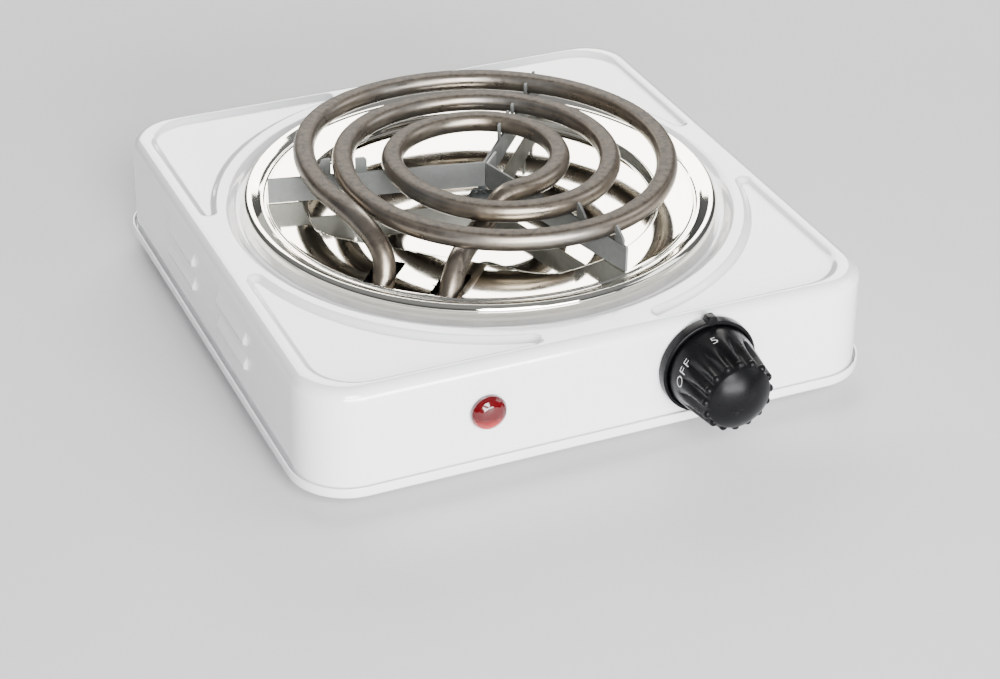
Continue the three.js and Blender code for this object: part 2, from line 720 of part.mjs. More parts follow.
// The third arm has a lap along the back arm, where the two are spot-welded.
function sideSupport() {
  const lapY = STRIP / 2 + GAP;
  const start = [-HUB_OFFSET + 0.3, lapY + STRIP / 2];
  const lap = box([-HUB_OFFSET - 10, -HUB_OFFSET + 0.3], [lapY + 0.2, lapY + STRIP], [ARM_BOTTOM_Z + 1, ARM_TOP_Z]);
  return inBurner(geometryOf(joined(arm(armLine(start, ARM_AZIMUTHS.side), leafFingers), solid(lap))));
}

// ---------------------------------------------------------------- knob and thermostat
// Heights in this section are distances out from the front wall.
function bezel() {
  const floor = 1.2;
  const cup = turned(
    [
      [SHAFT_RADIUS + 0.6, GAP],
      [BEZEL_RADIUS, GAP],
      [BEZEL_RADIUS, BEZEL_DEPTH - 0.8],
      [BEZEL_RADIUS - 0.6, BEZEL_DEPTH],
      [17.5, BEZEL_DEPTH],
      [17.5, GAP + floor],
      [SHAFT_RADIUS + 0.6, GAP + floor],
    ],
    36,
  );
  const nub = slab([[-2.4, 0], [2.4, 0], [1.5, 2.7], [-1.5, 2.7]], BEZEL_DEPTH - GAP);
  const hole = (x) => solid(rod(SCREW_HOLE, 0, 4, 12).translate(x, 0, 0));
  const body = cut(
    joined(solid(cup), solid(nub.translate(0, BEZEL_RADIUS - 0.8, GAP))),
    hole(-CONTROL_SCREW_X),
    hole(CONTROL_SCREW_X),
  );
  return outOfFront(geometryOf(body), KNOB_X);
}

// One grip rib: a bar that thickens towards the front and ends in a round bead.
function gripRib(index) {
  const beadRadius = 1.6;
  const bar = turned(
    [[0, -11], [0.8, -10], [beadRadius, 0], [1.2, 1.1], [0, beadRadius]],
    6,
  );
  const lean = degToRad(-7);
  const angle = (index / GRIP_RIBS) * 2 * Math.PI;
  return solid(bar.rotateY(lean).translate(12.9, 0, 25).rotateZ(angle));
}

function knob() {
  const outside = turned(
    [
      [0, KNOB_BASE],
      [16.9, KNOB_BASE],
      [16.9, 6],
      [16.2, 10],
      [14.6, 14.5],
      [13.4, 20],
      [12.7, 25.6],
      [12.3, 27.2],
      [11.2, 28.9],
      [8.6, 30.6],
      [4.6, 31.7],
      [0, KNOB_FRONT],
    ],
    32,
  );
  const hollow = turned([[5.8, 0], [15.1, 0], [15.1, 6], [11.6, 20], [5.8, 22]], 20);
  const flat = box([-5, 5], [SHAFT_RADIUS - 0.8 + GAP, 5], [0, 30]);
  const bore = cut(solid(rod(SHAFT_RADIUS + GAP, 0, 22, 20)), solid(flat));
  const ribs = Array.from({ length: GRIP_RIBS }, (_, index) => gripRib(index));
  return outOfFront(geometryOf(cut(joined(solid(outside), ...ribs), solid(hollow), bore)), KNOB_X);
}

function shaft() {
  const bar = solid(rod(SHAFT_RADIUS, THERMOSTAT_FRONT - 6, 21.5, 20));
  const flat = solid(box([-5, 5], [SHAFT_RADIUS - 0.8, 5], [KNOB_BASE - 0.6, 30]));
  return outOfFront(geometryOf(cut(bar, flat)), KNOB_X);
}

function thermostatBracket() {
  const back = THERMOSTAT_FRONT + GAP;
  const plate = box([-16, 16], [-11, 11], [back, -SHEET - GAP]);
  const hole = (radius, x) => solid(rod(radius, -10, 4, 14).translate(x, 0, 0));
  const body = cut(
    solid(plate),
    hole(SHAFT_RADIUS + 0.6, 0),
    hole(SCREW_HOLE, -CONTROL_SCREW_X),
    hole(SCREW_HOLE, CONTROL_SCREW_X),
  );
  return outOfFront(geometryOf(body), KNOB_X);
}

const BLADE_X = 6;
const bladeBox = (x, grow, from, to) =>
  box([x - 0.4 - grow, x + 0.4 + grow], [-3.2 - grow, 3.2 + grow], [from, to]);

function thermostatBody() {
  const back = THERMOSTAT_FRONT - THERMOSTAT_DEPTH;
  const block = box([-14, 14], [-11, 11], [back, THERMOSTAT_FRONT]);
  const screwHole = (x) =>
    solid(rod(SCREW_HOLE, THERMOSTAT_FRONT - 5, THERMOSTAT_FRONT + 1, 12).translate(x, 0, 0));
  const body = cut(
    solid(block),
    solid(rod(SHAFT_RADIUS + 0.4, THERMOSTAT_FRONT - 7, THERMOSTAT_FRONT + 1, 20)),
    screwHole(-CONTROL_SCREW_X),
    screwHole(CONTROL_SCREW_X),
    solid(bladeBox(-BLADE_X, GAP, back - 1, back + 4)),
    solid(bladeBox(BLADE_X, GAP, back - 1, back + 4)),
  );
  return outOfFront(geometryOf(body), KNOB_X);
}

const BLADE_END = THERMOSTAT_FRONT - THERMOSTAT_DEPTH - 7;

function thermostatBlade(x) {
  const top = THERMOSTAT_FRONT - THERMOSTAT_DEPTH + 4 - GAP;
  return outOfFront(bladeBox(x, 0, BLADE_END, top), KNOB_X);
}

function thermostatScrew(x) {
  const headSeat = GAP + 1.2 + GAP;
  return outOfFront(screw(2.8, 1.6, 1.5, 8).rotateX(Math.PI).translate(x, 0, headSeat), KNOB_X);
}

// ---------------------------------------------------------------- pilot lamp
const BULB_BACK = -13;

function lampLens() {
  const cap = turned(
    [
      [3.6, -9],
      [LENS_SHANK, -9],
      [LENS_SHANK, GAP],
      [LENS_RADIUS, GAP],
      [LENS_RADIUS, 1.6],
      [6, 3.1],
      [4.2, 4.3],
      [2.1, 4.9],
      [0, 5.1],
      [0, 2],
      [3.6, 1],
    ],
    20,
  );
  return outOfFront(cap, LAMP_X);
}

const lampClip = () =>
  outOfFront(turned([[LENS_SHANK + GAP, -1.1], [8, -1.1], [8, -2.1], [LENS_SHANK + GAP, -2.1]], 20), LAMP_X);

function lampBulb() {
  const envelope = [[0, BULB_BACK], [3.1, BULB_BACK], [3.1, -1.5], [1.8, 0.2], [0, 0.8]];
  return outOfFront(turned(envelope, 16), LAMP_X);
}

// ---------------------------------------------------------------- rear entry and wiring
function cordGland() {
  return outOfRear(
    turned(
      [
        [GLAND_BORE, -9],
        [GLAND_NECK, -9],
        [GLAND_NECK, GAP],
        [9, GAP],
        [9, 1.8],
        [7, GLAND_OUT],
        [GLAND_BORE, GLAND_OUT],
      ],
      24,
    ),
  );
}

// A hexagonal nut with its hole, from its lower to its upper face.
function nut(radius, hole, from, to) {
  const blank = solid(rod(radius, from, to, 6));
  return geometryOf(cut(blank, solid(rod(hole, from - 1, to + 1, 12))));
}

function terminalBlock() {
  const bottom = SHEET + GAP;
  const front = BLOCK.y - BLOCK.depth / 2;
  const back = BLOCK.y + BLOCK.depth / 2;
  const xs = [BLOCK.x - BLOCK.width / 2, BLOCK.x + BLOCK.width / 2];
  const block = box(xs, [front, back], [bottom, bottom + BLOCK.height]);
  const bore = (x, from, to) =>
    solid(rod(WIRE_RADIUS + 0.4, from, to, 10).rotateX(-Math.PI / 2).translate(x, 0, BLOCK_WAY_Z));
  const ways = Object.values(BLOCK_WAYS).flatMap((offset) => {
    const x = BLOCK.x + offset;
    const well = rod(2.2, bottom + BLOCK.height - 3, 20, 12).translate(x, BLOCK.y, 0);
    return [bore(x, front - 1, front + 6.5), bore(x, back - 6.5, back + 1), solid(well)];
  });
  const screwBore = solid(rod(SCREW_HOLE, 0, 7, 12).translate(BLOCK_SCREW_X, BLOCK.y, 0));
  return geometryOf(cut(solid(block), ...ways, screwBore));
}

function wire(points, radius = WIRE_RADIUS) {
  return tube(points, radius, 6, points.length * 2);
}

// The first points of a wire that leaves the front of the terminal block.
function fromBlock(way) {
  const x = BLOCK.x + BLOCK_WAYS[way];
  return [
    [x, BLOCK.y - 4, BLOCK_WAY_Z],
    [x, BLOCK.y - 10, BLOCK_WAY_Z],
    [x, BLOCK.y - 15, BLOCK_WAY_Z],
  ];
}

function wires() {
  const bladeY = FRONT_Y - BLADE_END + GAP;
  const bulbY = FRONT_Y - BULB_BACK + GAP;
  const pinTip = PIN_END + GAP;
  return {
    wire_block_to_thermostat: wire([
      ...fromBlock("live"),
      [-36, 42, 7],
      [0, 0, 8],
      [34, -48, 10],
      [KNOB_X + BLADE_X, bladeY + 12, 21],
      [KNOB_X + BLADE_X, bladeY + 4, CONTROL_Z],
      [KNOB_X + BLADE_X, bladeY, CONTROL_Z],
    ]),
    wire_thermostat_to_coil: wire([
      [KNOB_X - BLADE_X, bladeY, CONTROL_Z],
      [KNOB_X - BLADE_X, bladeY + 4, CONTROL_Z],
      [KNOB_X - BLADE_X - 3, bladeY + 9, 21],
      [8, -74, 10],
      [-34, -80, 9],
      [-62, -100, 14],
      burnerPoint(pinTip + 6, LEAD_OFFSET, LEAD_Z - 6),
      burnerPoint(pinTip + 3, LEAD_OFFSET, LEAD_Z),
      burnerPoint(pinTip, LEAD_OFFSET, LEAD_Z),
    ]),
    wire_coil_to_block: wire([
      burnerPoint(pinTip, -LEAD_OFFSET, LEAD_Z),
      burnerPoint(pinTip + 3, -LEAD_OFFSET, LEAD_Z),
      burnerPoint(pinTip + 6, -LEAD_OFFSET, LEAD_Z - 5),
      [-101, -62, 18],
      [-100, 0, 10],
      [-84, 44, 8],
      ...fromBlock("neutral").reverse(),
    ]),
    wire_earth: wire([
      ...fromBlock("earth"),
      [-28, 54, 6],
      [-18, 62, 3],
      [EARTH.x - 1, EARTH.y - 4.6, 2.6],
    ]),
    lamp_lead_coil: wire(
      [
        [LAMP_X - 1.4, bulbY, CONTROL_Z],
        [LAMP_X - 4, bulbY + 8, 25],
        burnerPoint(PIN_END - 3, LEAD_OFFSET, LEAD_Z - 2.3),
      ],
      LAMP_LEAD_RADIUS,
    ),
    lamp_lead_block: wire(
      [
        [LAMP_X + 1.4, bulbY, CONTROL_Z],
        [LAMP_X + 1, bulbY + 10, 20],
        [-66, -78, 22],
        burnerPoint(PIN_END - 3, -LEAD_OFFSET, LEAD_Z - 2.3),
      ],
      LAMP_LEAD_RADIUS,
    ),
  };
}

// ---------------------------------------------------------------- the assembly
const group = new THREE.Group();

function add(name, geometry, surface) {
  const mesh = new THREE.Mesh(geometry, surface);
  mesh.name = name;
  mesh.position.set(0, SHIFT_Y, LIFT);
  group.add(mesh);
}

add("housing", geometryOf(housing()), whiteEnamel);
add("bottom_cover", geometryOf(bottomCover()), whiteEnamel);
for (const [corner, [sx, sy]] of Object.entries(cornerSigns)) {
  add(`foot_${corner}`, foot().translate(sx * FOOT_X, sy * FOOT_Y, 0), blackRubber);
  const footScrew = screw(4, 2.4, 2, 9).translate(sx * FOOT_X, sy * FOOT_Y, -4 - GAP);
  add(`foot_screw_${corner}`, footScrew, zinc);
}

add("drip_pan", dripPan(), chrome);
add("heat_shield", heatShield(), zinc);
add("coil_support_main", mainSupport(), zinc);
add("coil_support_side", sideSupport(), zinc);
add("centre_screw", screw(4.3, 2, 2, 9).rotateX(Math.PI).translate(0, 0, TAB_TOP + GAP), zinc);
add("centre_nut", nut(4, FOOT_SCREW_HOLE, NUT_TOP - 3.2, NUT_TOP), zinc);
add("heating_coil", heatingCoil(), sheath);
for (const [end, side] of Object.entries({ outer: -1, inner: 1 })) {
  add(`coil_bushing_${end}`, bushing(side), ceramic);
  add(`coil_pin_${end}`, coilPin(side), zinc);
}

add("knob_bezel", bezel(), blackPlastic);
add("knob", knob(), blackPlastic);
add("thermostat_shaft", shaft(), zinc);
add("thermostat_bracket", thermostatBracket(), zinc);
add("thermostat_body", thermostatBody(), ceramic);
for (const [name, sign] of Object.entries({ left: -1, right: 1 })) {
  add(`thermostat_screw_${name}`, thermostatScrew(sign * CONTROL_SCREW_X), zinc);
  add(`thermostat_blade_${name}`, thermostatBlade(sign * BLADE_X), brass);
}

add("lamp_lens", lampLens(), redPlastic);
add("lamp_clip", lampClip(), zinc);
add("lamp_bulb", lampBulb(), glass);

add("cord_gland", cordGland(), blackPlastic);
add("gland_nut", outOfRear(nut(9.5, GLAND_NECK + GAP, -SHEET - GAP - 3, -SHEET - GAP)), blackPlastic);
add("terminal_block", terminalBlock(), ceramic);
add("terminal_block_screw", screw(3, 1.8, 1.5, 6.5).translate(BLOCK_SCREW_X, BLOCK.y, -GAP), zinc);
add("earth_screw", screw(3, 1.8, 1.5, 6).translate(EARTH.x, EARTH.y, -GAP), brass);
add("earth_nut", nut(3.2, SCREW_HOLE, SHEET + GAP, SHEET + GAP + 2.4).translate(EARTH.x, EARTH.y, 0), brass);
for (const [name, geometry] of Object.entries(wires())) {
  add(name, geometry, name === "wire_earth" ? earthSleeve : wireSleeve);
}

export default group;
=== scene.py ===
"""Looks for the electric hot plate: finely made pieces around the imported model's frame.

Shapes are made in millimetres in the case's own frame, whose origin is under the middle of the bottom
cover, with the knob towards -Y. place() turns them into metres in the model's frame.
"""

import json
import math

import bmesh
import bpy
import numpy as np
from mathutils import Matrix, Vector


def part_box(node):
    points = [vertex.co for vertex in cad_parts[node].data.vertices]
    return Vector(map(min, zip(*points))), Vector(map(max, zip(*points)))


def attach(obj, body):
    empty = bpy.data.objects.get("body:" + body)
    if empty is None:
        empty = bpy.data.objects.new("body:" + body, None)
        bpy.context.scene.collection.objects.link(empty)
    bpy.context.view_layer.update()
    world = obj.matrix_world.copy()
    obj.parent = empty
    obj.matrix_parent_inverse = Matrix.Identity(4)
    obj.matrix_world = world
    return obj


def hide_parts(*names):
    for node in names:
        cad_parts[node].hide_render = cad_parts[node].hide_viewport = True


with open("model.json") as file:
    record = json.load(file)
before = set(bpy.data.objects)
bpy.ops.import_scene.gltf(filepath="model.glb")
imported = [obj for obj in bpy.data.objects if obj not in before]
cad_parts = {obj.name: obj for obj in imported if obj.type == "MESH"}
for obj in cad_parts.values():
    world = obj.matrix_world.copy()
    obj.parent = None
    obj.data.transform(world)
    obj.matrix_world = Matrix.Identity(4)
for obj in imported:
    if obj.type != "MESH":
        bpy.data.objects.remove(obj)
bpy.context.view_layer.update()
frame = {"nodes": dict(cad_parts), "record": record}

# -------- dimensions, in millimetres
SHEET = 0.8
GAP = 0.3

CASE_WIDTH = 230
CASE_DEPTH = 235
CASE_HEIGHT = 42.5
CASE_CORNER = 22.5
RIM_HEIGHT = 4.1
WALL_INSET = 1.8
WALL_DRAFT = 0.5
TOP_FILLET = 5
WALL_X = CASE_WIDTH / 2 - WALL_INSET
WALL_Y = CASE_DEPTH / 2 - WALL_INSET

PANEL_DEPTH = 2
PANEL_SLOPE = 3.5
PANEL_HALF_X = 106.5
PANEL_HALF_Y = 110
PANEL_CORNER = 20
PANEL_TIP = 4
PANEL_ARC_RADIUS = 101.4
PANEL_ARC_CENTRE = 3.7

LOUVRE_HALF = 17
LOUVRE_Y = 31
LOUVRE_ROWS = (19.5, 30)
LOUVRE_STAND = 1.45
LOUVRE_LIP = -2.85
LOUVRE_TOP = 3.4

VENT_X = 40
VENT_PITCH = 14
VENT_HALF_LENGTH = 22
VENT_RADIUS = 2.5
COVER_RIM = 2.2

SCREW_HOLE = 2.3
FOOT_RECESS = 4.6
FOOT_RADIUS = 9
FOOT_HEIGHT = 8
FOOT_X = 92
FOOT_Y = 94

SEAT_DEPTH = 3.1
SEAT_RIM_RADIUS = 100.2
SEAT_FLAT_RADIUS = 95
SEAT_Z = CASE_HEIGHT - SEAT_DEPTH
PAN_OPENING_RADIUS = 90

PAN_RADIUS = 93.9
PAN_TOP = 46.5
LEDGE_Z = 44.4
LEDGE_RADIUS = 82.8
LEDGE_GROOVE = 0.3
WELL_RADIUS = 70
WELL_CHORD = 53.5
WELL_SLOPE = 2
WELL_FLOOR_Z = 40.8
SLOT_FROM = 63
SLOT_TO = 81.5
SLOT_HALF_WIDTH = 5.2

LEAD_AZIMUTH = -132
LEAD_OFFSET = 13
LEAD_Z = 34
LEAD_END = 104
TUBE_RADIUS = 4.2
COIL_Z = 59.6
COIL_TOP_Z = 63.2
OUTER_TURN = 72.5
MIDDLE_TURN = 50.3
INNER_TURN = 34.9
LAST_TURN = 30.2
TURNS_START = 66
BACK_DIP = 2.6
LEFT_SWING = 3.3
INNER_SWING = 3.5

STRIP = 1
HUB_OFFSET = 4.5
HUB_FLOOR_Z = WELL_FLOOR_Z + GAP
ARM_END = 83
ARM_AZIMUTHS = {"left": -63.2, "back": 182, "side": 59.3}
ARM_TOP_Z = COIL_Z - TUBE_RADIUS - GAP
ARM_BOTTOM_Z = LEDGE_Z + GAP
SEAT_HALF = TUBE_RADIUS + 0.6
TAB_HALF = 5
LEG_WIDTH = 3
LEG_TOP_Z = 50
LAP_LENGTH = 10
FINGER_WIDTH = 2.2
FINGER_TOP_Z = 62
TAB_INNER_WIDTH = 4.5
LEAF_WIDTH = 4.8
LEAF_SHOULDER = 3.2

KNOB_X = 39.5
LAMP_X = -46.8
CONTROL_Z = 23.3
BEZEL_RADIUS = 18.8
BEZEL_DEPTH = 4.6
BEZEL_BORE = 17.5
SHAFT_HOLE = 3.6
KNOB_BASE = 2.4
KNOB_FRONT = 32
GRIP_RIBS = 16
# The knob's outermost radius and the radius of the floor between its ribs, by height.
CREST = ((6, 16.9), (10, 16.4), (15, 15.75), (20, 15.05), (25, 14.45), (27, 14.2))
VALLEY = ((6, 16.9), (12, 15.0), (14.5, 14.6), (20, 13.4), (25.6, 12.7), (27, 12.4))
DOME_RADIUS = 12.4
DOME_RISE = 5
BEAD_RADIUS = 1.62
BEAD_RING = 12.85
BEAD_HEIGHT = 25.1
# The scale: where each mark stands, in degrees to the left of the index.
MARKS = {"5": 11, "4": -39, "3": -89, "2": -139, "1": -189, "OFF": 72.5}
MARK_SIZE = 4.5
MARK_HEIGHT = 11.6
MARK_WIDENING = 1.4
MARK_RADIUS = 16.3

GLAND_X = -60
GLAND_Z = 21

# The camera, in degrees, metres and millimetres of lens; its target is in the case's frame.
CAMERA_AZIMUTH = -24.25
CAMERA_ELEVATION = 31.61
CAMERA_ROLL = 0.92
CAMERA_DISTANCE = 0.9891
CAMERA_LENS = 85.4
CAMERA_TARGET = (0.0156, 0.0135, -0.0353)

FRONT_Y = -(WALL_Y - WALL_DRAFT * CONTROL_Z / CASE_HEIGHT)
REAR_Y = WALL_Y - WALL_DRAFT * GLAND_Z / CASE_HEIGHT

housing_low, housing_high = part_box("housing")
cover_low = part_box("bottom_cover")[0]
CASE_ORIGIN = Vector((0, (housing_low.y + housing_high.y) / 2, cover_low.z))


def place(points):
    """Case frame in millimetres to the model's frame in metres."""
    return np.asarray(points, float) * 0.001 + np.array(CASE_ORIGIN)


# -------- material helpers
class Nodes:
    """A new material and short calls for the nodes that its look is made of."""

    def __init__(self, name):
        self.material = bpy.data.materials.new(name)
        self.material.use_nodes = True
        self.tree = self.material.node_tree
        self.shader = self.tree.nodes["Principled BSDF"]
        self.coordinates = self.tree.nodes.new("ShaderNodeTexCoord").outputs["Object"]

    def link(self, source, target):
        self.tree.links.new(source, target)

    def set(self, **values):
        for key, value in values.items():
            self.shader.inputs[key.replace("_", " ")].default_value = value

    def noise(self, scale, detail=4, roughness=0.55):
        node = self.tree.nodes.new("ShaderNodeTexNoise")
        node.inputs["Scale"].default_value = scale
        node.inputs["Detail"].default_value = detail
        node.inputs["Roughness"].default_value = roughness
        self.link(self.coordinates, node.inputs["Vector"])
        return node.outputs["Fac"]

    def cells(self, scale, output="Color"):
        node = self.tree.nodes.new("ShaderNodeTexVoronoi")
        node.inputs["Scale"].default_value = scale
        self.link(self.coordinates, node.inputs["Vector"])
        return node.outputs[output]

    def ramp(self, value, *stops):
        node = self.tree.nodes.new("ShaderNodeValToRGB")
        elements = node.color_ramp.elements
        while len(elements) < len(stops):
            elements.new(0.5)
        for element, (position, colour) in zip(elements, stops):
            element.position = position
            grey = not isinstance(colour, tuple)
            element.color = (colour, colour, colour, 1) if grey else (*colour, 1)
        self.link(value, node.inputs["Fac"])
        return node.outputs["Color"]

    def mix(self, factor, first, second):
        node = self.tree.nodes.new("ShaderNodeMix")
        node.data_type = "RGBA"
        for value, socket in ((factor, 0), (first, 6), (second, 7)):
            if isinstance(value, bpy.types.NodeSocket):
                self.link(value, node.inputs[socket])
            elif isinstance(value, tuple):
                node.inputs[socket].default_value = (*value, 1)
            else:
                node.inputs[socket].default_value = value
        return node.outputs[2]

    def bump(self, height, strength, distance, normal=None):
        node = self.tree.nodes.new("ShaderNodeBump")
        node.inputs["Strength"].default_value = strength
        node.inputs["Distance"].default_value = distance
        self.link(height, node.inputs["Height"])
        if normal:
            self.link(normal, node.inputs["Normal"])
        self.link(node.outputs["Normal"], self.shader.inputs["Normal"])
        return node.outputs["Normal"]

    def span(self, vector, low, high):
        """0 where a vector's Z is below low and 1 where it is above high."""
        split = self.tree.nodes.new("ShaderNodeSeparateXYZ")
        self.link(vector, split.inputs[0])
        node = self.tree.nodes.new("ShaderNodeMapRange")
        node.inputs["From Min"].default_value = low
        node.inputs["From Max"].default_value = high
        self.link(split.outputs["Z"], node.inputs["Value"])
        return node.outputs["Result"]

    def facing_up(self, low, high):
        """0 where the surface faces down and 1 where it faces up, between two heights of its normal."""
        normal = self.tree.nodes.new("ShaderNodeTexCoord").outputs["Normal"]
        return self.span(normal, low, high)

    def edges(self, low, high):
        """0 on flat places and 1 on sharp outer edges."""
        pointiness = self.tree.nodes.new("ShaderNodeNewGeometry").outputs["Pointiness"]
        return self.ramp(pointiness, (low, 0.0), (high, 1.0))

    def colour(self, socket):
        self.link(socket, self.shader.inputs["Base Color"])

    def roughness(self, socket):
        self.link(socket, self.shader.inputs["Roughness"])


def make_enamel():
    m = Nodes("white_enamel")
    tone = m.ramp(m.noise(9, 3), (0.3, (0.87, 0.873, 0.885)), (0.7, (0.91, 0.912, 0.92)))
    m.colour(m.mix(m.edges(0.53, 0.62), tone, (0.94, 0.94, 0.945)))
    m.roughness(m.ramp(m.noise(34, 6), (0.35, 0.14), (0.7, 0.24)))
    m.bump(m.noise(420, 2), 0.06, 0.0004)
    m.set(Coat_Weight=1.0, Coat_Roughness=0.06, Coat_IOR=1.6)
    return m.material


def make_chrome():
    m = Nodes("chrome")
    m.set(Metallic=1.0)
    tone = m.ramp(m.noise(14, 3), (0.3, (0.82, 0.785, 0.69)), (0.7, (0.90, 0.87, 0.785)))
    m.colour(m.mix(m.edges(0.54, 0.64), tone, (0.95, 0.94, 0.91)))
    m.roughness(m.ramp(m.noise(60, 6, 0.65), (0.4, 0.035), (0.75, 0.10)))
    m.bump(m.noise(38, 2), 0.06, 0.0006)
    return m.material


def make_sheath():
    """Heat-stained steel, brown and blotched, scorched dull where pans stand on it, with painted shade on
    its underside.
    """
    m = Nodes("coil_sheath")
    brown = ((0.32, (0.10, 0.08, 0.056)), (0.52, (0.17, 0.14, 0.102)), (0.72, (0.26, 0.22, 0.168)))
    blotch = m.ramp(m.noise(75, 6, 0.68), *brown)
    tint = m.ramp(m.noise(22, 2), (0.35, (0.32, 0.265, 0.21)), (0.65, (0.29, 0.29, 0.29)))
    scorched = m.ramp(m.noise(420, 5, 0.75), (0.36, (0.018, 0.013, 0.009)), (0.6, (0.075, 0.058, 0.04)))
    # Painted shade: faces that look down are mixed to near-black, the rest is the blotched stain.
    body = m.mix(m.facing_up(-0.75, 0.0), (0.045, 0.038, 0.032), m.mix(0.45, blotch, tint))
    top = CASE_ORIGIN.z + COIL_TOP_Z * 0.001
    on_top = m.span(m.coordinates, top - 0.0010, top - 0.0003)
    m.colour(m.mix(on_top, body, scorched))
    m.link(m.ramp(on_top, (0.0, 0.92), (1.0, 0.5)), m.shader.inputs["Metallic"])
    polish = m.ramp(m.noise(150, 5), (0.3, 0.24), (0.7, 0.4))
    m.roughness(m.mix(on_top, polish, (0.55, 0.55, 0.55)))
    fine = m.bump(m.noise(900, 3), 0.2, 0.00012)
    m.bump(m.noise(120, 4), 0.15, 0.0003, fine)
    return m.material


def make_zinc():
    m = Nodes("zinc_steel")
    m.set(Metallic=0.15, Specular_IOR_Level=0.12)
    spangle = m.ramp(m.cells(700), (0.2, (0.05, 0.053, 0.051)), (0.8, (0.08, 0.084, 0.082)))
    stain = m.ramp(m.noise(60, 5, 0.65), (0.35, (0.03, 0.03, 0.028)), (0.65, (0.09, 0.093, 0.09)))
    m.colour(m.mix(m.edges(0.52, 0.62), m.mix(0.5, spangle, stain), (0.34, 0.35, 0.34)))
    m.roughness(m.ramp(m.noise(130, 5), (0.3, 0.42), (0.7, 0.6)))
    m.bump(m.noise(600, 3), 0.12, 0.0001)
    return m.material


def make_black_plastic():
    m = Nodes("black_plastic")
    tone = m.ramp(m.noise(60), (0.3, (0.003, 0.003, 0.0032)), (0.7, (0.006, 0.006, 0.0065)))
    m.colour(m.mix(m.edges(0.54, 0.66), tone, (0.016, 0.016, 0.017)))
    m.roughness(m.ramp(m.noise(180, 5), (0.3, 0.24), (0.7, 0.36)))
    m.bump(m.noise(1500, 2), 0.08, 0.00006)
    m.set(Specular_IOR_Level=0.11)
    return m.material


def make_marking():
    m = Nodes("marking_paint")
    m.colour(m.ramp(m.noise(700, 4), (0.3, 0.42), (0.6, 0.62)))
    m.roughness(m.ramp(m.noise(300), (0.3, 0.4), (0.7, 0.6)))
    return m.material


def make_rubber():
    m = Nodes("black_rubber")
    m.colour(m.ramp(m.noise(90), (0.3, 0.016), (0.7, 0.032)))
    m.roughness(m.ramp(m.noise(200), (0.3, 0.7), (0.7, 0.9)))
    m.bump(m.noise(800, 3), 0.3, 0.0001)
    return m.material


def make_red_lens():
    """Deep red, with a painted glow brightest along the lens's lower edge and painted shade over its upper
    part.
    """
    m = Nodes("red_lens")
    middle = CASE_ORIGIN.z + CONTROL_Z * 0.001
    painted_lit_red = m.ramp(m.noise(260, 2), (0.35, (0.42, 0.006, 0.008)), (0.65, (0.60, 0.014, 0.014)))
    # Painted light: below the middle the lens is a lit red, and above it turns to a near-black painted
    # shade.
    upward = m.span(m.coordinates, middle - 0.0055, middle - 0.0005)
    m.colour(m.mix(upward, painted_lit_red, (0.09, 0.001, 0.003)))
    m.roughness(m.ramp(m.noise(150), (0.3, 0.06), (0.7, 0.14)))
    m.set(Transmission_Weight=0.2, IOR=1.49, Coat_Weight=0.6, Coat_Roughness=0.05)
    return m.material


def make_ceramic():
    m = Nodes("ceramic")
    m.colour(m.ramp(m.noise(200), (0.3, (0.72, 0.68, 0.60)), (0.7, (0.82, 0.79, 0.72))))
    m.roughness(m.ramp(m.noise(160), (0.3, 0.5), (0.7, 0.75)))
    m.bump(m.noise(900), 0.3, 0.0001)
    return m.material


def make_glass():
    m = Nodes("bulb_glass")
    m.colour(m.ramp(m.noise(80), (0.3, (0.95, 0.86, 0.80)), (0.7, (0.98, 0.92, 0.88))))
    m.roughness(m.ramp(m.noise(120), (0.3, 0.03), (0.7, 0.07)))
    m.set(Transmission_Weight=0.8, IOR=1.46)
    return m.material


def make_sleeve(name, dark, light):
    m = Nodes(name)
    m.colour(m.ramp(m.cells(1400), (0.2, dark), (0.8, light)))
    m.roughness(m.ramp(m.noise(300), (0.3, 0.7), (0.7, 0.9)))
    m.bump(m.cells(1400, output="Distance"), 0.5, 0.0002)
    return m.material


def make_brass():
    m = Nodes("brass")
    m.set(Metallic=1.0)
    m.colour(m.ramp(m.noise(120), (0.3, (0.55, 0.40, 0.17)), (0.7, (0.72, 0.55, 0.27))))
    m.roughness(m.ramp(m.noise(200), (0.3, 0.25), (0.7, 0.42)))
    return m.material


MATERIALS = {
    "white_enamel": make_enamel(),
    "chrome": make_chrome(),
    "coil_sheath": make_sheath(),
    "zinc_steel": make_zinc(),
    "black_plastic": make_black_plastic(),
    "black_rubber": make_rubber(),
    "red_lens": make_red_lens(),
    "ceramic": make_ceramic(),
    "bulb_glass": make_glass(),
    "wire_sleeve": make_sleeve("wire_sleeve", (0.55, 0.51, 0.44), (0.76, 0.73, 0.66)),
    "earth_sleeve": make_sleeve("earth_sleeve", (0.10, 0.30, 0.05), (0.24, 0.48, 0.12)),
    "brass": make_brass(),
}
MARKING = make_marking()

for subpart in frame["record"]["subparts"]:
    mesh = frame["nodes"][subpart["node"]].data
    mesh.materials.clear()
    mesh.materials.append(MATERIALS[subpart["material_slot"]])


# -------- mesh helpers
def add_piece(name, points, faces, slot, replaces=(), body="case", smooth=True):
    """A mesh piece from points in the case frame."""
    mesh = bpy.data.meshes.new(name)
    mesh.from_pydata([tuple(p) for p in place(points)], [], [tuple(map(int, f)) for f in faces])
    mesh.update()
    tidy = bmesh.new()
    tidy.from_mesh(mesh)
    bmesh.ops.remove_doubles(tidy, verts=tidy.verts, dist=2e-6)
    bmesh.ops.recalc_face_normals(tidy, faces=tidy.faces)
    tidy.to_mesh(mesh)
    tidy.free()
    mesh.polygons.foreach_set("use_smooth", [smooth] * len(mesh.polygons))
    mesh.materials.append(MATERIALS[slot])
    piece = bpy.data.objects.new(name, mesh)
    bpy.context.scene.collection.objects.link(piece)
    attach(piece, body)
    if replaces:
        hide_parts(*replaces)
    return piece


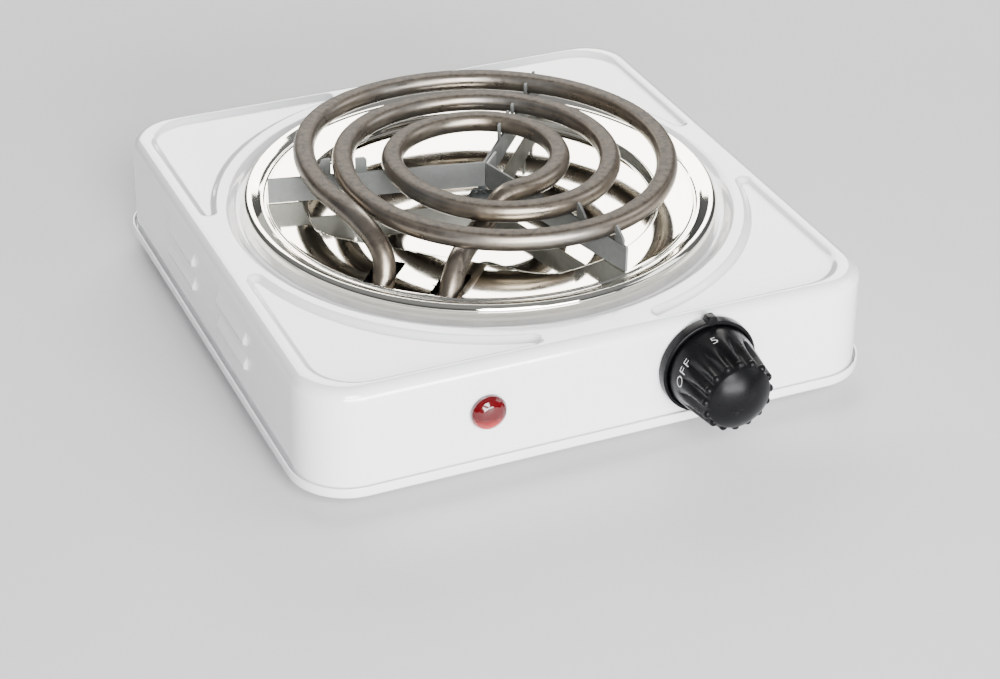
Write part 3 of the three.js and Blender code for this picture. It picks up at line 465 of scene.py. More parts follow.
def grid_faces(rows, columns, wrap=True):
    """Quads of a grid of points stored row by row; wrap joins the last column to the first."""
    count = columns if wrap else columns - 1
    row, column = np.meshgrid(np.arange(rows - 1), np.arange(count), indexing="ij")
    a = row * columns + column
    b = row * columns + (column + 1) % columns
    return np.stack([a, b, b + columns, a + columns], -1).reshape(-1, 4)


def filleted(points, radius, steps=4, closed=False):
    """A polyline with its corners rounded; radius is one number or one for each point."""
    points = [np.asarray(p, float) for p in points]
    radii = radius if isinstance(radius, (list, tuple)) else [radius] * len(points)
    out = []
    for i, point in enumerate(points):
        at_end = not closed and i in (0, len(points) - 1)
        before = points[i - 1] - point
        after = points[(i + 1) % len(points)] - point
        if at_end or radii[i] <= 0:
            out.append(point)
            continue
        long_before, long_after = np.linalg.norm(before), np.linalg.norm(after)
        before, after = before / long_before, after / long_after
        half = math.acos(float(np.clip(before @ after, -1, 1))) / 2
        if half > math.pi / 2 - 0.02:
            out.append(point)
            continue
        setback = min(radii[i] / math.tan(half), 0.49 * long_before, 0.49 * long_after)
        for k in range(steps + 1):
            t = k / steps
            start, end = point + before * setback, point + after * setback
            out.append((1 - t) ** 2 * start + 2 * t * (1 - t) * point + t**2 * end)
    return np.array(out)


def lathe(profile, segments):
    """Points and quads of a surface of revolution about Z from (radius, height) points."""
    angles = np.arange(segments) * 2 * math.pi / segments
    profile = np.asarray(profile, float)
    x = profile[:, :1] * np.cos(angles)
    y = profile[:, :1] * np.sin(angles)
    z = np.repeat(profile[:, 1:2], segments, 1)
    return np.stack([x, y, z], -1).reshape(-1, 3), grid_faces(len(profile), segments)


def turn_z(points, degrees):
    """Turns points about Z."""
    c, s = math.cos(math.radians(degrees)), math.sin(math.radians(degrees))
    x, y, z = np.asarray(points, float).T
    return np.column_stack([c * x - s * y, s * x + c * y, z])


def in_burner(points):
    """Turns a shape made with the coil's two ends along +X to where they leave the burner."""
    return turn_z(points, LEAD_AZIMUTH)


def out_of_front(points, x):
    """Turns a shape made about +Z so that it stands out of the front wall."""
    points = np.asarray(points, float)
    return np.column_stack([points[:, 0] + x, FRONT_Y - points[:, 2], CONTROL_Z + points[:, 1]])


def smoothstep(value, low=0.0, high=1.0):
    """0 up to low, 1 from high, and a smooth rise between them."""
    t = np.clip((np.asarray(value, float) - low) / (high - low), 0, 1)
    return t * t * (3 - 2 * t)


def round_points(radius, angles, z=0.0):
    """Points at a radius and a height in each direction; each may be one number or one for each angle."""
    return np.column_stack([radius * np.cos(angles), radius * np.sin(angles), z + np.zeros(len(angles))])


def full_turn(columns):
    """Evenly spaced directions all the way round."""
    return np.arange(columns) * 2 * math.pi / columns


def arc(cx, cy, radius, start, end, steps):
    """Points of an arc in XY, from one angle in degrees to another."""
    angles = np.radians(np.linspace(start, end, steps + 1))
    return round_points(radius, angles)[:, :2] + (cx, cy)


def distance_to_outline(x, y, outline):
    """Signed distance of points to a closed outline, negative inside."""
    points = np.column_stack([np.ravel(x), np.ravel(y)])
    best = np.full(len(points), np.inf)
    inside = np.zeros(len(points), bool)
    for start, end in zip(outline, np.roll(outline, -1, axis=0)):
        edge = end - start
        length = edge @ edge
        if length < 1e-12:
            continue
        t = np.clip((points - start) @ edge / length, 0, 1)
        best = np.minimum(best, np.linalg.norm(points - start - t[:, None] * edge, axis=1))
        straddles = (start[1] > points[:, 1]) != (end[1] > points[:, 1])
        with np.errstate(divide="ignore", invalid="ignore"):
            crossing = start[0] + (points[:, 1] - start[1]) * edge[0] / edge[1]
        inside ^= straddles & (points[:, 0] < crossing)
    return np.where(inside, -best, best).reshape(np.shape(x))


def rounded_rectangle_reach(angles, half_x, half_y, corner):
    """How far a rounded rectangle's outline is from its middle, in each direction."""
    c, s = np.abs(np.cos(angles)), np.abs(np.sin(angles))
    reach = np.minimum(half_x / np.maximum(c, 1e-9), half_y / np.maximum(s, 1e-9))
    cx, cy = half_x - corner, half_y - corner
    in_corner = (reach * c > cx) & (reach * s > cy)
    along = c * cx + s * cy
    root = np.sqrt(np.maximum(along**2 - cx**2 - cy**2 + corner**2, 0))
    return np.where(in_corner, along + root, reach)


def cut_plate(name, outlines, thickness, edge=0.12):
    """A flat sheet cut to an outline, with holes, lying in XY with soft edges: points and faces."""
    curve = bpy.data.curves.new(name, "CURVE")
    curve.dimensions = "2D"
    curve.fill_mode = "BOTH"
    curve.extrude = thickness / 2 - edge
    curve.bevel_depth = edge
    curve.bevel_resolution = 1
    curve.offset = -edge
    for outline in outlines:
        spline = curve.splines.new("POLY")
        spline.points.add(len(outline) - 1)
        for point, (x, y) in zip(spline.points, outline):
            point.co = (x, y, 0, 1)
        spline.use_cyclic_u = True
    holder = bpy.data.objects.new(name, curve)
    bpy.context.scene.collection.objects.link(holder)
    made = bpy.data.meshes.new_from_object(holder.evaluated_get(bpy.context.evaluated_depsgraph_get()))
    points = np.array([v.co for v in made.vertices])
    faces = [tuple(p.vertices) for p in made.polygons]
    bpy.data.objects.remove(holder)
    bpy.data.curves.remove(curve)
    bpy.data.meshes.remove(made)
    return points, faces


def merged(*shapes):
    """Several (points, faces) shapes as one."""
    points, faces, base = [], [], 0
    for shape_points, shape_faces in shapes:
        points.append(np.asarray(shape_points, float))
        faces.extend(tuple(int(i) + base for i in face) for face in shape_faces)
        base += len(shape_points)
    return np.vstack(points), faces


# -------- the case
def panel_outline():
    """The pressed panel in the corner where X and Y are positive."""
    tip_distance = PANEL_ARC_RADIUS + PANEL_TIP
    tip_x = PANEL_HALF_X - PANEL_TIP
    tip_y = PANEL_HALF_Y - PANEL_TIP
    side_angle = math.degrees(math.acos(tip_x / tip_distance))
    end_angle = math.degrees(math.asin((tip_y - PANEL_ARC_CENTRE) / tip_distance))
    end_x = tip_distance * math.cos(math.radians(end_angle))
    side_y = PANEL_ARC_CENTRE + tip_distance * math.sin(math.radians(side_angle))
    corner_x, corner_y = PANEL_HALF_X - PANEL_CORNER, PANEL_HALF_Y - PANEL_CORNER
    return np.vstack(
        [
            arc(corner_x, corner_y, PANEL_CORNER, 0, 90, 12),
            arc(end_x, tip_y, PANEL_TIP, 90, 180 + end_angle, 10),
            arc(0, PANEL_ARC_CENTRE, PANEL_ARC_RADIUS, end_angle, side_angle, 24)[1:-1],
            arc(tip_x, side_y, PANEL_TIP, 180 + side_angle, 360, 10),
        ]
    )


def louvre_bulge(y, z):
    """How far the side wall stands out at the louvres."""
    out = np.zeros(np.broadcast(y, z).shape)
    for row in LOUVRE_ROWS:
        up = z - row
        rise = (1 - smoothstep(up, -1.2, LOUVRE_TOP)) * (up > LOUVRE_LIP) * (up < LOUVRE_TOP)
        for middle in (-LOUVRE_Y, LOUVRE_Y):
            ends = 1 - smoothstep(np.abs(y - middle), LOUVRE_HALF - 1.3, LOUVRE_HALF)
            out = np.maximum(out, LOUVRE_STAND * rise * ends)
    return out


def housing_angles():
    """Directions from the middle at which the case is sampled, with extra ones at the louvres' ends."""
    even = full_turn(1000)
    steps = np.linspace(-0.3, 1.8, 15)
    ends = [LOUVRE_Y + side * (LOUVRE_HALF - step) for side in (-1, 1) for step in steps]
    heights = np.concatenate([ends, np.negative(ends)])
    right = np.arctan2(heights, WALL_X)
    every = np.concatenate([even, right, math.pi - right]) % (2 * math.pi)
    return np.unique(np.round(every, 5))


def wall_rows(angles):
    """The case's walls, from just above the tray to the round edge."""
    wall_heights = [1.1, 2.5, 5, 9, 13]
    for row in LOUVRE_ROWS:
        wall_heights += [row + up for up in (-3.3, -2.9, -2.8, -2, -1.2, 0, 1.2, 2.4, 3.5)]
    wall_heights.append(CASE_HEIGHT - TOP_FILLET)
    rows = []
    for z in wall_heights:
        inset = WALL_DRAFT * z / CASE_HEIGHT
        reach = rounded_rectangle_reach(angles, WALL_X - inset, WALL_Y - inset, CASE_CORNER - WALL_INSET)
        row = round_points(reach, angles, z)
        x, y = row[:, 0], row[:, 1]
        on_side = (np.abs(x) > WALL_X - inset - 0.01) & (np.abs(y) < 60)
        row[:, 0] += np.sign(x) * on_side * louvre_bulge(y, z)
        rows.append(row)
    return rows


def round_edge_rows(angles):
    """The round edge between the walls and the top."""
    rows = []
    corner = CASE_CORNER - WALL_INSET
    for k in range(1, 9):
        angle = k / 8 * math.pi / 2
        inset = WALL_DRAFT + TOP_FILLET * (1 - math.cos(angle))
        reach = rounded_rectangle_reach(angles, WALL_X - inset, WALL_Y - inset, corner - inset)
        rows.append(round_points(reach, angles, CASE_HEIGHT - TOP_FILLET * (1 - math.sin(angle))))
    return rows


def top_rows(angles, top_reach):
    """The top face with its four pressed panels, and the pan's seat down to the opening."""
    outline = panel_outline()
    columns = len(angles)
    seat_edge = np.full(columns, SEAT_RIM_RADIUS + 0.8)
    reaches = [top_reach * (1 - t) + seat_edge * t for t in np.linspace(0, 1, 58)[1:]]
    seat_radii = np.linspace(SEAT_RIM_RADIUS + 0.4, SEAT_FLAT_RADIUS - 0.4, 16)
    reaches += [np.full(columns, radius) for radius in (*seat_radii, PAN_OPENING_RADIUS)]
    rows = []
    for reach in reaches:
        row = round_points(reach, angles, CASE_HEIGHT)
        inward = -distance_to_outline(np.abs(row[:, 0]), np.abs(row[:, 1]), outline)
        panel = PANEL_DEPTH * smoothstep(inward, 0, PANEL_SLOPE)
        seat = SEAT_DEPTH * smoothstep(SEAT_RIM_RADIUS - reach, 0, SEAT_RIM_RADIUS - SEAT_FLAT_RADIUS)
        row[:, 2] -= panel + seat
        rows.append(row)
    return rows


def make_housing():
    angles = housing_angles()
    rows = wall_rows(angles) + round_edge_rows(angles)
    rows += top_rows(angles, np.hypot(rows[-1][:, 0], rows[-1][:, 1]))
    rows.append(rows[-1] - [0, 0, SHEET])
    faces = grid_faces(len(rows), len(angles))
    add_piece("case_shell", np.vstack(rows), faces, "white_enamel", ["housing"])


def cover_reach(angles, inset):
    """The tray's outline, drawn in by an inset."""
    half_x, half_y = CASE_WIDTH / 2 - inset, CASE_DEPTH / 2 - inset
    return rounded_rectangle_reach(angles, half_x, half_y, CASE_CORNER - inset)


def vent_slots():
    """Two columns of five slots in the tray's floor."""
    slots = []
    for x in (-VENT_X, VENT_X):
        for row in range(-2, 3):
            y = row * VENT_PITCH
            right_end = arc(x + VENT_HALF_LENGTH, y, VENT_RADIUS, -90, 90, 10)
            left_end = arc(x - VENT_HALF_LENGTH, y, VENT_RADIUS, 90, 270, 10)
            slots.append(np.vstack([right_end, left_end]))
    return slots


def make_bottom_cover():
    """The tray's rim, swept round the outline, and its floor with the vent slots."""
    angles = full_turn(720)
    profile = filleted(
        [
            (COVER_RIM, SHEET),
            (1.5, SHEET),
            (0.8, 1.8),
            (0.8, RIM_HEIGHT),
            (0, RIM_HEIGHT),
            (0, 0),
            (COVER_RIM, 0),
        ],
        [0, 0.5, 0.8, 0.35, 0.35, 1.3, 0],
    )
    rows = [round_points(cover_reach(angles, inset), angles, z) for inset, z in profile]
    rim = (np.vstack(rows), grid_faces(len(rows), len(angles)))
    outer = round_points(cover_reach(angles, COVER_RIM), angles)[:, :2]
    floor_points, floor_faces = cut_plate("cover_floor", [outer, *vent_slots()], SHEET, 0.05)
    floor = (floor_points + [0, 0, SHEET / 2], floor_faces)
    add_piece("base_tray", *merged(rim, floor), "white_enamel", ["bottom_cover"])


def screw_shape(head_radius, head_height, shank_radius, length):
    """A pan head with a cross recess, head up from z = 0 and the shank below."""
    rings = 26
    recess_depth = 0.9
    angles = full_turn(96)
    arm_width = 0.16 * head_radius
    rows = [round_points(0, angles, head_height - recess_depth)]
    for k in range(1, rings + 1):
        radius = head_radius * k / rings
        row = round_points(radius, angles)
        cross = np.abs(row[:, :2]).min(1)
        in_arms = 1 - smoothstep(cross, arm_width * 0.8, arm_width * 1.3)
        in_reach = 1 - smoothstep(radius, head_radius * 0.5, head_radius * 0.62)
        dome = head_height * np.sqrt(np.maximum(1 - (radius / head_radius) ** 4, 0.02))
        row[:, 2] = dome - recess_depth * in_arms * in_reach
        rows.append(row)
    point = -length - shank_radius
    for radius, z in ((head_radius, 0), (shank_radius, 0), (shank_radius, -length), (0, point)):
        rows.append(round_points(radius, angles, z))
    return np.vstack(rows), grid_faces(len(rows), len(angles))


def make_feet():
    profile = filleted(
        [
            (SCREW_HOLE, -GAP),
            (FOOT_RADIUS, -GAP),
            (FOOT_RADIUS - 0.6, 1 - FOOT_HEIGHT),
            (FOOT_RADIUS - 1.6, -FOOT_HEIGHT),
            (FOOT_RECESS, -FOOT_HEIGHT),
            (FOOT_RECESS, -FOOT_HEIGHT / 2),
            (SCREW_HOLE, -FOOT_HEIGHT / 2),
            (SCREW_HOLE, -GAP),
        ],
        [0, 0.5, 0.8, 0.6, 0.4, 0.2, 0, 0],
    )
    foot, foot_faces = lathe(profile, 72)
    screw, screw_faces = screw_shape(4, 2.4, 2, 7)
    screw = screw * [1, -1, -1] - [0, 0, FOOT_HEIGHT / 2 + GAP]
    for end, sign_y in (("front", -1), ("rear", 1)):
        for side, sign_x in (("left", -1), ("right", 1)):
            corner = f"{end}_{side}"
            middle = np.array([sign_x * FOOT_X, sign_y * FOOT_Y, 0])
            rubber, fixing = f"rubber_foot_{corner}", f"foot_fixing_{corner}"
            add_piece(rubber, foot + middle, foot_faces, "black_rubber", [f"foot_{corner}"])
            add_piece(fixing, screw + middle, screw_faces, "zinc_steel", [f"foot_screw_{corner}"])


# -------- the pan
def slot_outline(side):
    """The slot for one of the coil's two ends, on one side (-1 or 1) of the X axis."""
    y = side * LEAD_OFFSET
    corners = [
        (SLOT_FROM, y - SLOT_HALF_WIDTH),
        (SLOT_TO, y - SLOT_HALF_WIDTH),
        (SLOT_TO, y + SLOT_HALF_WIDTH),
        (SLOT_FROM, y + SLOT_HALF_WIDTH),
    ]
    return filleted(corners, 1.0, 4, closed=True)


def snapped(x, y, outline, reach):
    """Moves the points nearest to an outline onto it, so that a hole cut there has a clean edge."""
    distance = distance_to_outline(x, y, outline)
    step = 0.01
    slope_x = (distance_to_outline(x + step, y, outline) - distance) / step
    slope_y = (distance_to_outline(x, y + step, outline) - distance) / step
    near = np.abs(distance) < reach
    return np.where(near, x - slope_x * distance, x), np.where(near, y - slope_y * distance, y)


def well_depth(x, y):
    """0 outside the pan's sunken floor and 1 on it."""
    inset_radius = WELL_RADIUS - np.hypot(x, y)
    inset_chord = WELL_CHORD - x
    softness = 5
    both = np.hypot(np.maximum(softness - inset_radius, 0), np.maximum(softness - inset_chord, 0))
    inset = np.where(both > 0, softness - both, np.minimum(inset_radius, inset_chord))
    return smoothstep(inset, 0, WELL_SLOPE)


def pan_profile():
    """The pan's upper face from its middle to the skirt's foot, then back up inside the skirt."""
    ledge = [(r, LEDGE_Z) for r in (SCREW_HOLE, 6, 12, 20, 30, 40, 46)]
    ledge += [(r, LEDGE_Z) for r in np.arange(49, LEDGE_RADIUS - 0.6, 0.6)]
    groove_z = LEDGE_Z - LEDGE_GROOVE
    rim = filleted(
        [
            (LEDGE_RADIUS - 0.3, LEDGE_Z),
            (LEDGE_RADIUS + 0.5, LEDGE_Z + 0.12),
            (LEDGE_RADIUS + 1.0, groove_z),
            (LEDGE_RADIUS + 1.6, groove_z),
            (LEDGE_RADIUS + 2.2, LEDGE_Z + 0.25),
            (LEDGE_RADIUS + 3.0, LEDGE_Z + 0.1),
            (PAN_RADIUS - 6.9, LEDGE_Z + 0.8),
            (PAN_RADIUS - 4.4, PAN_TOP - 0.1),
            (PAN_RADIUS - 2.9, PAN_TOP + 0.15),
            (PAN_RADIUS - 1.7, PAN_TOP - 0.9),
            (PAN_RADIUS, SEAT_Z + GAP),
        ],
        [0, 0.3, 0.3, 0.3, 0.3, 0.4, 1.2, 1.2, 1.2, 1.4, 0],
        5,
    )
    foot = rim[-1] - [SHEET, 0]
    return np.vstack([ledge, rim, [foot, foot + [-0.6, 4.5]]])


def slot_lips():
    """The cut edges of the two slots."""
    lips = []
    for side in (-1, 1):
        outline = slot_outline(side)
        edge = np.column_stack([outline, np.full(len(outline), LEDGE_Z)])
        lips.append((np.vstack([edge, edge - [0, 0, SHEET]]), grid_faces(2, len(outline))))
    return lips


def make_drip_pan():
    angles = full_turn(640)
    rows = []
    for radius, z in pan_profile():
        row = round_points(radius, angles, z)
        x, y = row[:, 0], row[:, 1]
        if SLOT_FROM - 2 < radius < SLOT_TO + 4:
            for side in (-1, 1):
                x, y = snapped(x, y, slot_outline(side), 0.42)
        depth = well_depth(x, y) if radius < WELL_RADIUS else 0
        rows.append(np.column_stack([x, y, row[:, 2] + (WELL_FLOOR_Z - LEDGE_Z) * depth]))
    points = np.vstack(rows)
    faces = grid_faces(len(rows), len(angles))
    middle = points[faces].mean(1)
    in_slot = np.zeros(len(faces), bool)
    for side in (-1, 1):
        in_slot |= distance_to_outline(middle[:, 0], middle[:, 1], slot_outline(side)) < -0.02
    points, faces = merged((points, faces[~in_slot]), *slot_lips())
    add_piece("chromed_pan", in_burner(points), faces, "chrome", ["drip_pan"])


# -------- the coil
def turn_radius(degrees):
    """The coil's radius, by the angle turned clockwise from the two ends."""
    start = TURNS_START + (OUTER_TURN - TURNS_START) * smoothstep(degrees, 45, 105)
    dip = BACK_DIP * (smoothstep(degrees, 100, 150) - smoothstep(degrees, 165, 235))
    to_middle = (OUTER_TURN - MIDDLE_TURN - LEFT_SWING) * smoothstep(degrees, 278, 430)
    around_left = LEFT_SWING * smoothstep(degrees, 440, 510)
    to_inner = (MIDDLE_TURN - INNER_TURN) * smoothstep(degrees, 640, 770)
    to_back = INNER_SWING * smoothstep(degrees, 765, 870)
    to_last = (INNER_TURN - INNER_SWING - LAST_TURN) * smoothstep(degrees, 900, 1030)
    return start - dip - to_middle - around_left - to_inner - to_back - to_last


def smooth_path(points, spacing):
    """Evenly spaced points on a centripetal curve through the given ones."""
    points = np.asarray(points, float)
    padded = np.vstack([2 * points[0] - points[1], points, 2 * points[-1] - points[-2]])
    dense = []
    for p0, p1, p2, p3 in zip(padded, padded[1:], padded[2:], padded[3:]):
        steps = [np.linalg.norm(b - a) ** 0.5 for a, b in ((p0, p1), (p1, p2), (p2, p3))]
        knots = np.cumsum([0, *steps])
        t = np.linspace(knots[1], knots[2], 24, endpoint=False)[:, None]

        def between(a, b, i, j):
            share = (t - knots[i]) / (knots[j] - knots[i])
            return (1 - share) * a + share * b

        a1, a2, a3 = between(p0, p1, 0, 1), between(p1, p2, 1, 2), between(p2, p3, 2, 3)
        dense.append(between(between(a1, a2, 0, 2), between(a2, a3, 1, 3), 1, 2))
    dense = np.vstack([*dense, points[-1:]])
    length = np.concatenate([[0], np.cumsum(np.linalg.norm(np.diff(dense, axis=0), axis=1))])
    even = np.linspace(0, length[-1], int(length[-1] / spacing) + 1)
    return np.column_stack([np.interp(even, length, dense[:, i]) for i in range(3)])


def coil_points():
    """The tube's centre line: up out of one slot, round the turns, and under them to the other slot."""
    degrees = np.linspace(46, 1034, 77)
    turns = round_points(turn_radius(degrees), -np.radians(degrees), COIL_Z)
    off = LEAD_OFFSET
    outer_end = [
        (LEAD_END, -off, LEAD_Z),
        (89, -off, LEAD_Z),
        (82, -off, 35.2),
        (76, -off, 39),
        (72.5, -off, 44),
        (70.4, -off - 0.8, 48.6),
        (66.8, -off - 5, 53.6),
        (61.6, -off - 13.2, 57.5),
        (55.8, -off - 22, 59.3),
    ]
    inner_end = [
        (25.5, 18, 58.4),
        (30.3, 15.4, 55),
        (35.2, off + 0.9, 52),
        (41.5, off, 50.8),
        (50, off, 50.7),
        (58.5, off, 50.6),
        (65, off, 49.2),
        (70.5, off, 45.2),
        (76, off, 39),
        (82, off, 35.2),
        (89, off, LEAD_Z),
        (LEAD_END, off, LEAD_Z),
    ]
    return np.vstack([outer_end, turns, inner_end])


def pressed_flat(z):
    """Heights with everything near and above the coil's top brought down onto it."""
    blend = 0.9
    over = np.maximum(z - (COIL_TOP_Z - blend), 0)
    return np.where(over > 0, COIL_TOP_Z - blend + blend * np.tanh(over / blend), z)


def make_coil():
    path = smooth_path(coil_points(), 1.4)
    tangent = np.gradient(path, axis=0)
    tangent /= np.linalg.norm(tangent, axis=1)[:, None]
    sideways = np.cross(tangent, [0, 0, 1.0])
    sideways /= np.linalg.norm(sideways, axis=1)[:, None]
    upward = np.cross(sideways, tangent)
    angles = full_turn(32)
    ring = sideways[:, None] * np.cos(angles)[:, None] + upward[:, None] * np.sin(angles)[:, None]
    points = path[:, None] + TUBE_RADIUS * ring
    points[..., 2] = pressed_flat(points[..., 2])
    first, last = (np.tile(end, (1, len(angles), 1)) for end in (path[0], path[-1]))
    points = in_burner(np.concatenate([first, points, last]).reshape(-1, 3))
    faces = grid_faces(len(path) + 2, len(angles))
    add_piece("coil_tube", points, faces, "coil_sheath", ["heating_coil"])


# -------- the support
def arm_line(start, azimuth):
    """An arm's start, direction and the places of its three seats, as distances along it."""
    angle = math.radians(azimuth)
    start = np.array(start, float)
    direction = np.array([ARM_END * math.cos(angle), ARM_END * math.sin(angle)]) - start
    direction /= np.linalg.norm(direction)
    lean = start @ direction

    def along(radius):
        return math.sqrt(lean**2 - start @ start + radius**2) - lean

    seats = []
    for winding in range(3):
        distance = along(MIDDLE_TURN)
        for _ in range(6):
            point = start + direction * distance
            clockwise = -math.degrees(math.atan2(point[1], point[0])) % 360
            distance = along(float(turn_radius(clockwise + 360 * winding)))
        seats.append(distance)
    return start, direction, along, seats


def broad_tab(seats):
    """The left arm's upper edge: a tab between the outer and middle turns that ends past the middle one."""
    outer_side = seats[0] - SEAT_HALF
    notch_outer, notch_inner = seats[1] + SEAT_HALF, seats[1] - SEAT_HALF
    end = notch_inner - TAB_INNER_WIDTH
    return [
        (outer_side, ARM_TOP_Z),
        (outer_side, FINGER_TOP_Z - 1.8),
        (outer_side - 0.5, FINGER_TOP_Z - 0.5),
        (outer_side - 1.8, FINGER_TOP_Z),
        (notch_outer, FINGER_TOP_Z),
        (notch_outer, ARM_TOP_Z),
        (notch_inner, ARM_TOP_Z),
        (notch_inner, FINGER_TOP_Z - 0.6),
        (end + 1, FINGER_TOP_Z - 0.6),
        (end, FINGER_TOP_Z - 1.6),
        (end, ARM_TOP_Z),
    ]


def narrow_fingers(seats):
    """The back arm's upper edge: fingers on both sides of the outer and inner turns, and one more
    inside the middle turn."""
    outline = []
    for seat, side in ((seats[0], 1), (seats[0], -1), (seats[1], -1), (seats[2], 1), (seats[2], -1)):
        near = seat + side * SEAT_HALF
        far = near + side * FINGER_WIDTH
        finger = [
            (near, ARM_TOP_Z),
            (near, FINGER_TOP_Z - 0.5),
            (near + side * 0.5, FINGER_TOP_Z),
            (far - side * 0.5, FINGER_TOP_Z),
            (far, FINGER_TOP_Z - 0.5),
            (far, ARM_TOP_Z),
        ]
        outline += finger[::-1] if side > 0 else finger
    return outline


def leaf_fingers(seats):
    """The side arm's upper edge: a pointed finger outside the outer and the middle turn."""
    outline = []
    for seat in seats[:2]:
        near = seat + SEAT_HALF
        outline += [
            (near + LEAF_WIDTH, ARM_TOP_Z),
            (near + LEAF_WIDTH, ARM_TOP_Z + LEAF_SHOULDER - 1),
            (near + LEAF_WIDTH - 0.8, ARM_TOP_Z + LEAF_SHOULDER),
            (near + 1.1, FINGER_TOP_Z - 0.7),
            (near + 0.4, FINGER_TOP_Z - 0.3),
            (near, FINGER_TOP_Z - 1),
            (near, ARM_TOP_Z),
        ]
    return outline


def arm_shape(name, start, azimuth, raised):
    """A straight upright strip from start to the ledge, with an upper edge made by raised."""
    start, direction, along, seats = arm_line(start, azimuth)
    end = along(ARM_END)
    outline = [(0, ARM_BOTTOM_Z), (end, ARM_BOTTOM_Z), (end, ARM_TOP_Z), *raised(seats), (0, ARM_TOP_Z)]
    flat, faces = cut_plate(name, [filleted(outline, 0.3, 2, closed=True)], STRIP)
    x = start[0] + direction[0] * flat[:, 0] - direction[1] * flat[:, 2]
    y = start[1] + direction[1] * flat[:, 0] + direction[0] * flat[:, 2]
    return np.column_stack([x, y, flat[:, 1]]), faces


def make_main_strip():
    """The strip bent into the left and back arms, with a leg down to the screw's tab on the floor."""
    hub = (-HUB_OFFSET, 0)
    leg_x = -HUB_OFFSET - 2.1
    tab_end = TAB_HALF + 0.5
    corners = [(leg_x, -TAB_HALF), (tab_end, -TAB_HALF), (tab_end, TAB_HALF), (leg_x, TAB_HALF)]
    tab_outline = filleted(corners, 1.0, 3, closed=True)
    tab, tab_faces = cut_plate("tab", [tab_outline, arc(0, 0, SCREW_HOLE, 0, 345, 23)], STRIP)
    leg_outline = [
        (-LEG_WIDTH, HUB_FLOOR_Z),
        (STRIP / 2, HUB_FLOOR_Z),
        (STRIP / 2, LEG_TOP_Z),
        (-LEG_WIDTH, LEG_TOP_Z),
    ]
    leg, leg_faces = cut_plate("leg", [leg_outline], STRIP)
    leg = np.column_stack([leg[:, 2] + leg_x + STRIP / 2, leg[:, 0], leg[:, 1]])
    points, faces = merged(
        arm_shape("left_arm", hub, ARM_AZIMUTHS["left"], broad_tab),
        arm_shape("back_arm", hub, ARM_AZIMUTHS["back"], narrow_fingers),
        (tab + [0, 0, HUB_FLOOR_Z + STRIP / 2], tab_faces),
        (leg, leg_faces),
    )
    replaced = ["coil_support_main"]
    add_piece("support_strip", in_burner(points), faces, "zinc_steel", replaced, smooth=False)


def make_third_arm():
    """The side arm and the lap by which it is joined to the back arm."""
    lap_y = STRIP / 2 + GAP
    lap_start, lap_end = -HUB_OFFSET - LAP_LENGTH, -HUB_OFFSET + GAP
    lap_outline = [
        (lap_start, ARM_BOTTOM_Z + 1),
        (lap_end, ARM_BOTTOM_Z + 1),
        (lap_end, ARM_TOP_Z),
        (lap_start, ARM_TOP_Z),
    ]
    lap, lap_faces = cut_plate("lap", [lap_outline], STRIP)
    lap = np.column_stack([lap[:, 0], lap[:, 2] + lap_y + STRIP / 2, lap[:, 1]])
    arm = arm_shape("side_arm", (lap_end, lap_y + STRIP / 2), ARM_AZIMUTHS["side"], leaf_fingers)
    points, faces = merged(arm, (lap, lap_faces))
    replaced = ["coil_support_side"]
    add_piece("support_third_arm", in_burner(points), faces, "zinc_steel", replaced, smooth=False)


def make_centre_screw():
    points, faces = screw_shape(4.3, 2, 2, 8)
    points = turn_z(points, 20) + [0, 0, HUB_FLOOR_Z + STRIP + GAP]
    add_piece("middle_screw", points, faces, "zinc_steel", ["centre_screw"])


# -------- the knob
def radius_at(height, curve):
    """The radius at a height on a curve of (height, radius) points."""
    heights, radii = np.transpose(curve)
    return np.interp(height, heights, radii)


def ribbed_radius(z, angles):
    """The grip's radius at one height, where its ribs grow out of the plain skirt below."""
    crest, valley = radius_at(z, CREST), radius_at(z, VALLEY)
    depth = (crest - valley) * smoothstep(z, 9.5, 15)
    wave = np.cos(GRIP_RIBS * angles)
    rib = (0.5 + 0.5 * wave) ** (0.35 + 0.75 * float(smoothstep(z, 12, 23)))
    fade = 1 - smoothstep(z, 25.2, 26.6)
    return crest * fade + valley * (1 - fade) - depth * (1 - rib) * fade


def make_knob():
    angles = full_turn(640)
    inside = [(11.8, 20), (15.1, 9), (15.1, KNOB_BASE + 0.3), (15.4, KNOB_BASE)]
    skirt = [(16.7, KNOB_BASE), (16.9, KNOB_BASE + 0.2)]
    rows = [round_points(radius, angles, z) for radius, z in inside + skirt]
    for z in (6, 8, 10, 11, *np.arange(11.4, 26.7, 0.35)):
        rows.append(round_points(ribbed_radius(z, angles), angles, z))
    sphere = (DOME_RADIUS**2 + DOME_RISE**2) / (2 * DOME_RISE)
    for slant in np.linspace(math.asin(DOME_RADIUS / sphere), 0, 18):
        z = KNOB_FRONT - sphere * (1 - math.cos(slant))
        rows.append(round_points(sphere * math.sin(slant), angles, z))
    shapes = [(np.vstack(rows), grid_faces(len(rows), len(angles)))]
    half_turn = np.linspace(0, math.pi, 13)
    bead_profile = [(BEAD_RADIUS * math.sin(a), -BEAD_RADIUS * math.cos(a)) for a in half_turn]
    bead, bead_faces = lathe(bead_profile, 20)
    for k in range(GRIP_RIBS):
        shapes.append((turn_z(bead + [BEAD_RING, 0, BEAD_HEIGHT], 360 * k / GRIP_RIBS), bead_faces))
    points, faces = merged(*shapes)
    add_piece("dial_knob", out_of_front(points, KNOB_X), faces, "black_plastic", ["knob"], body="dial")


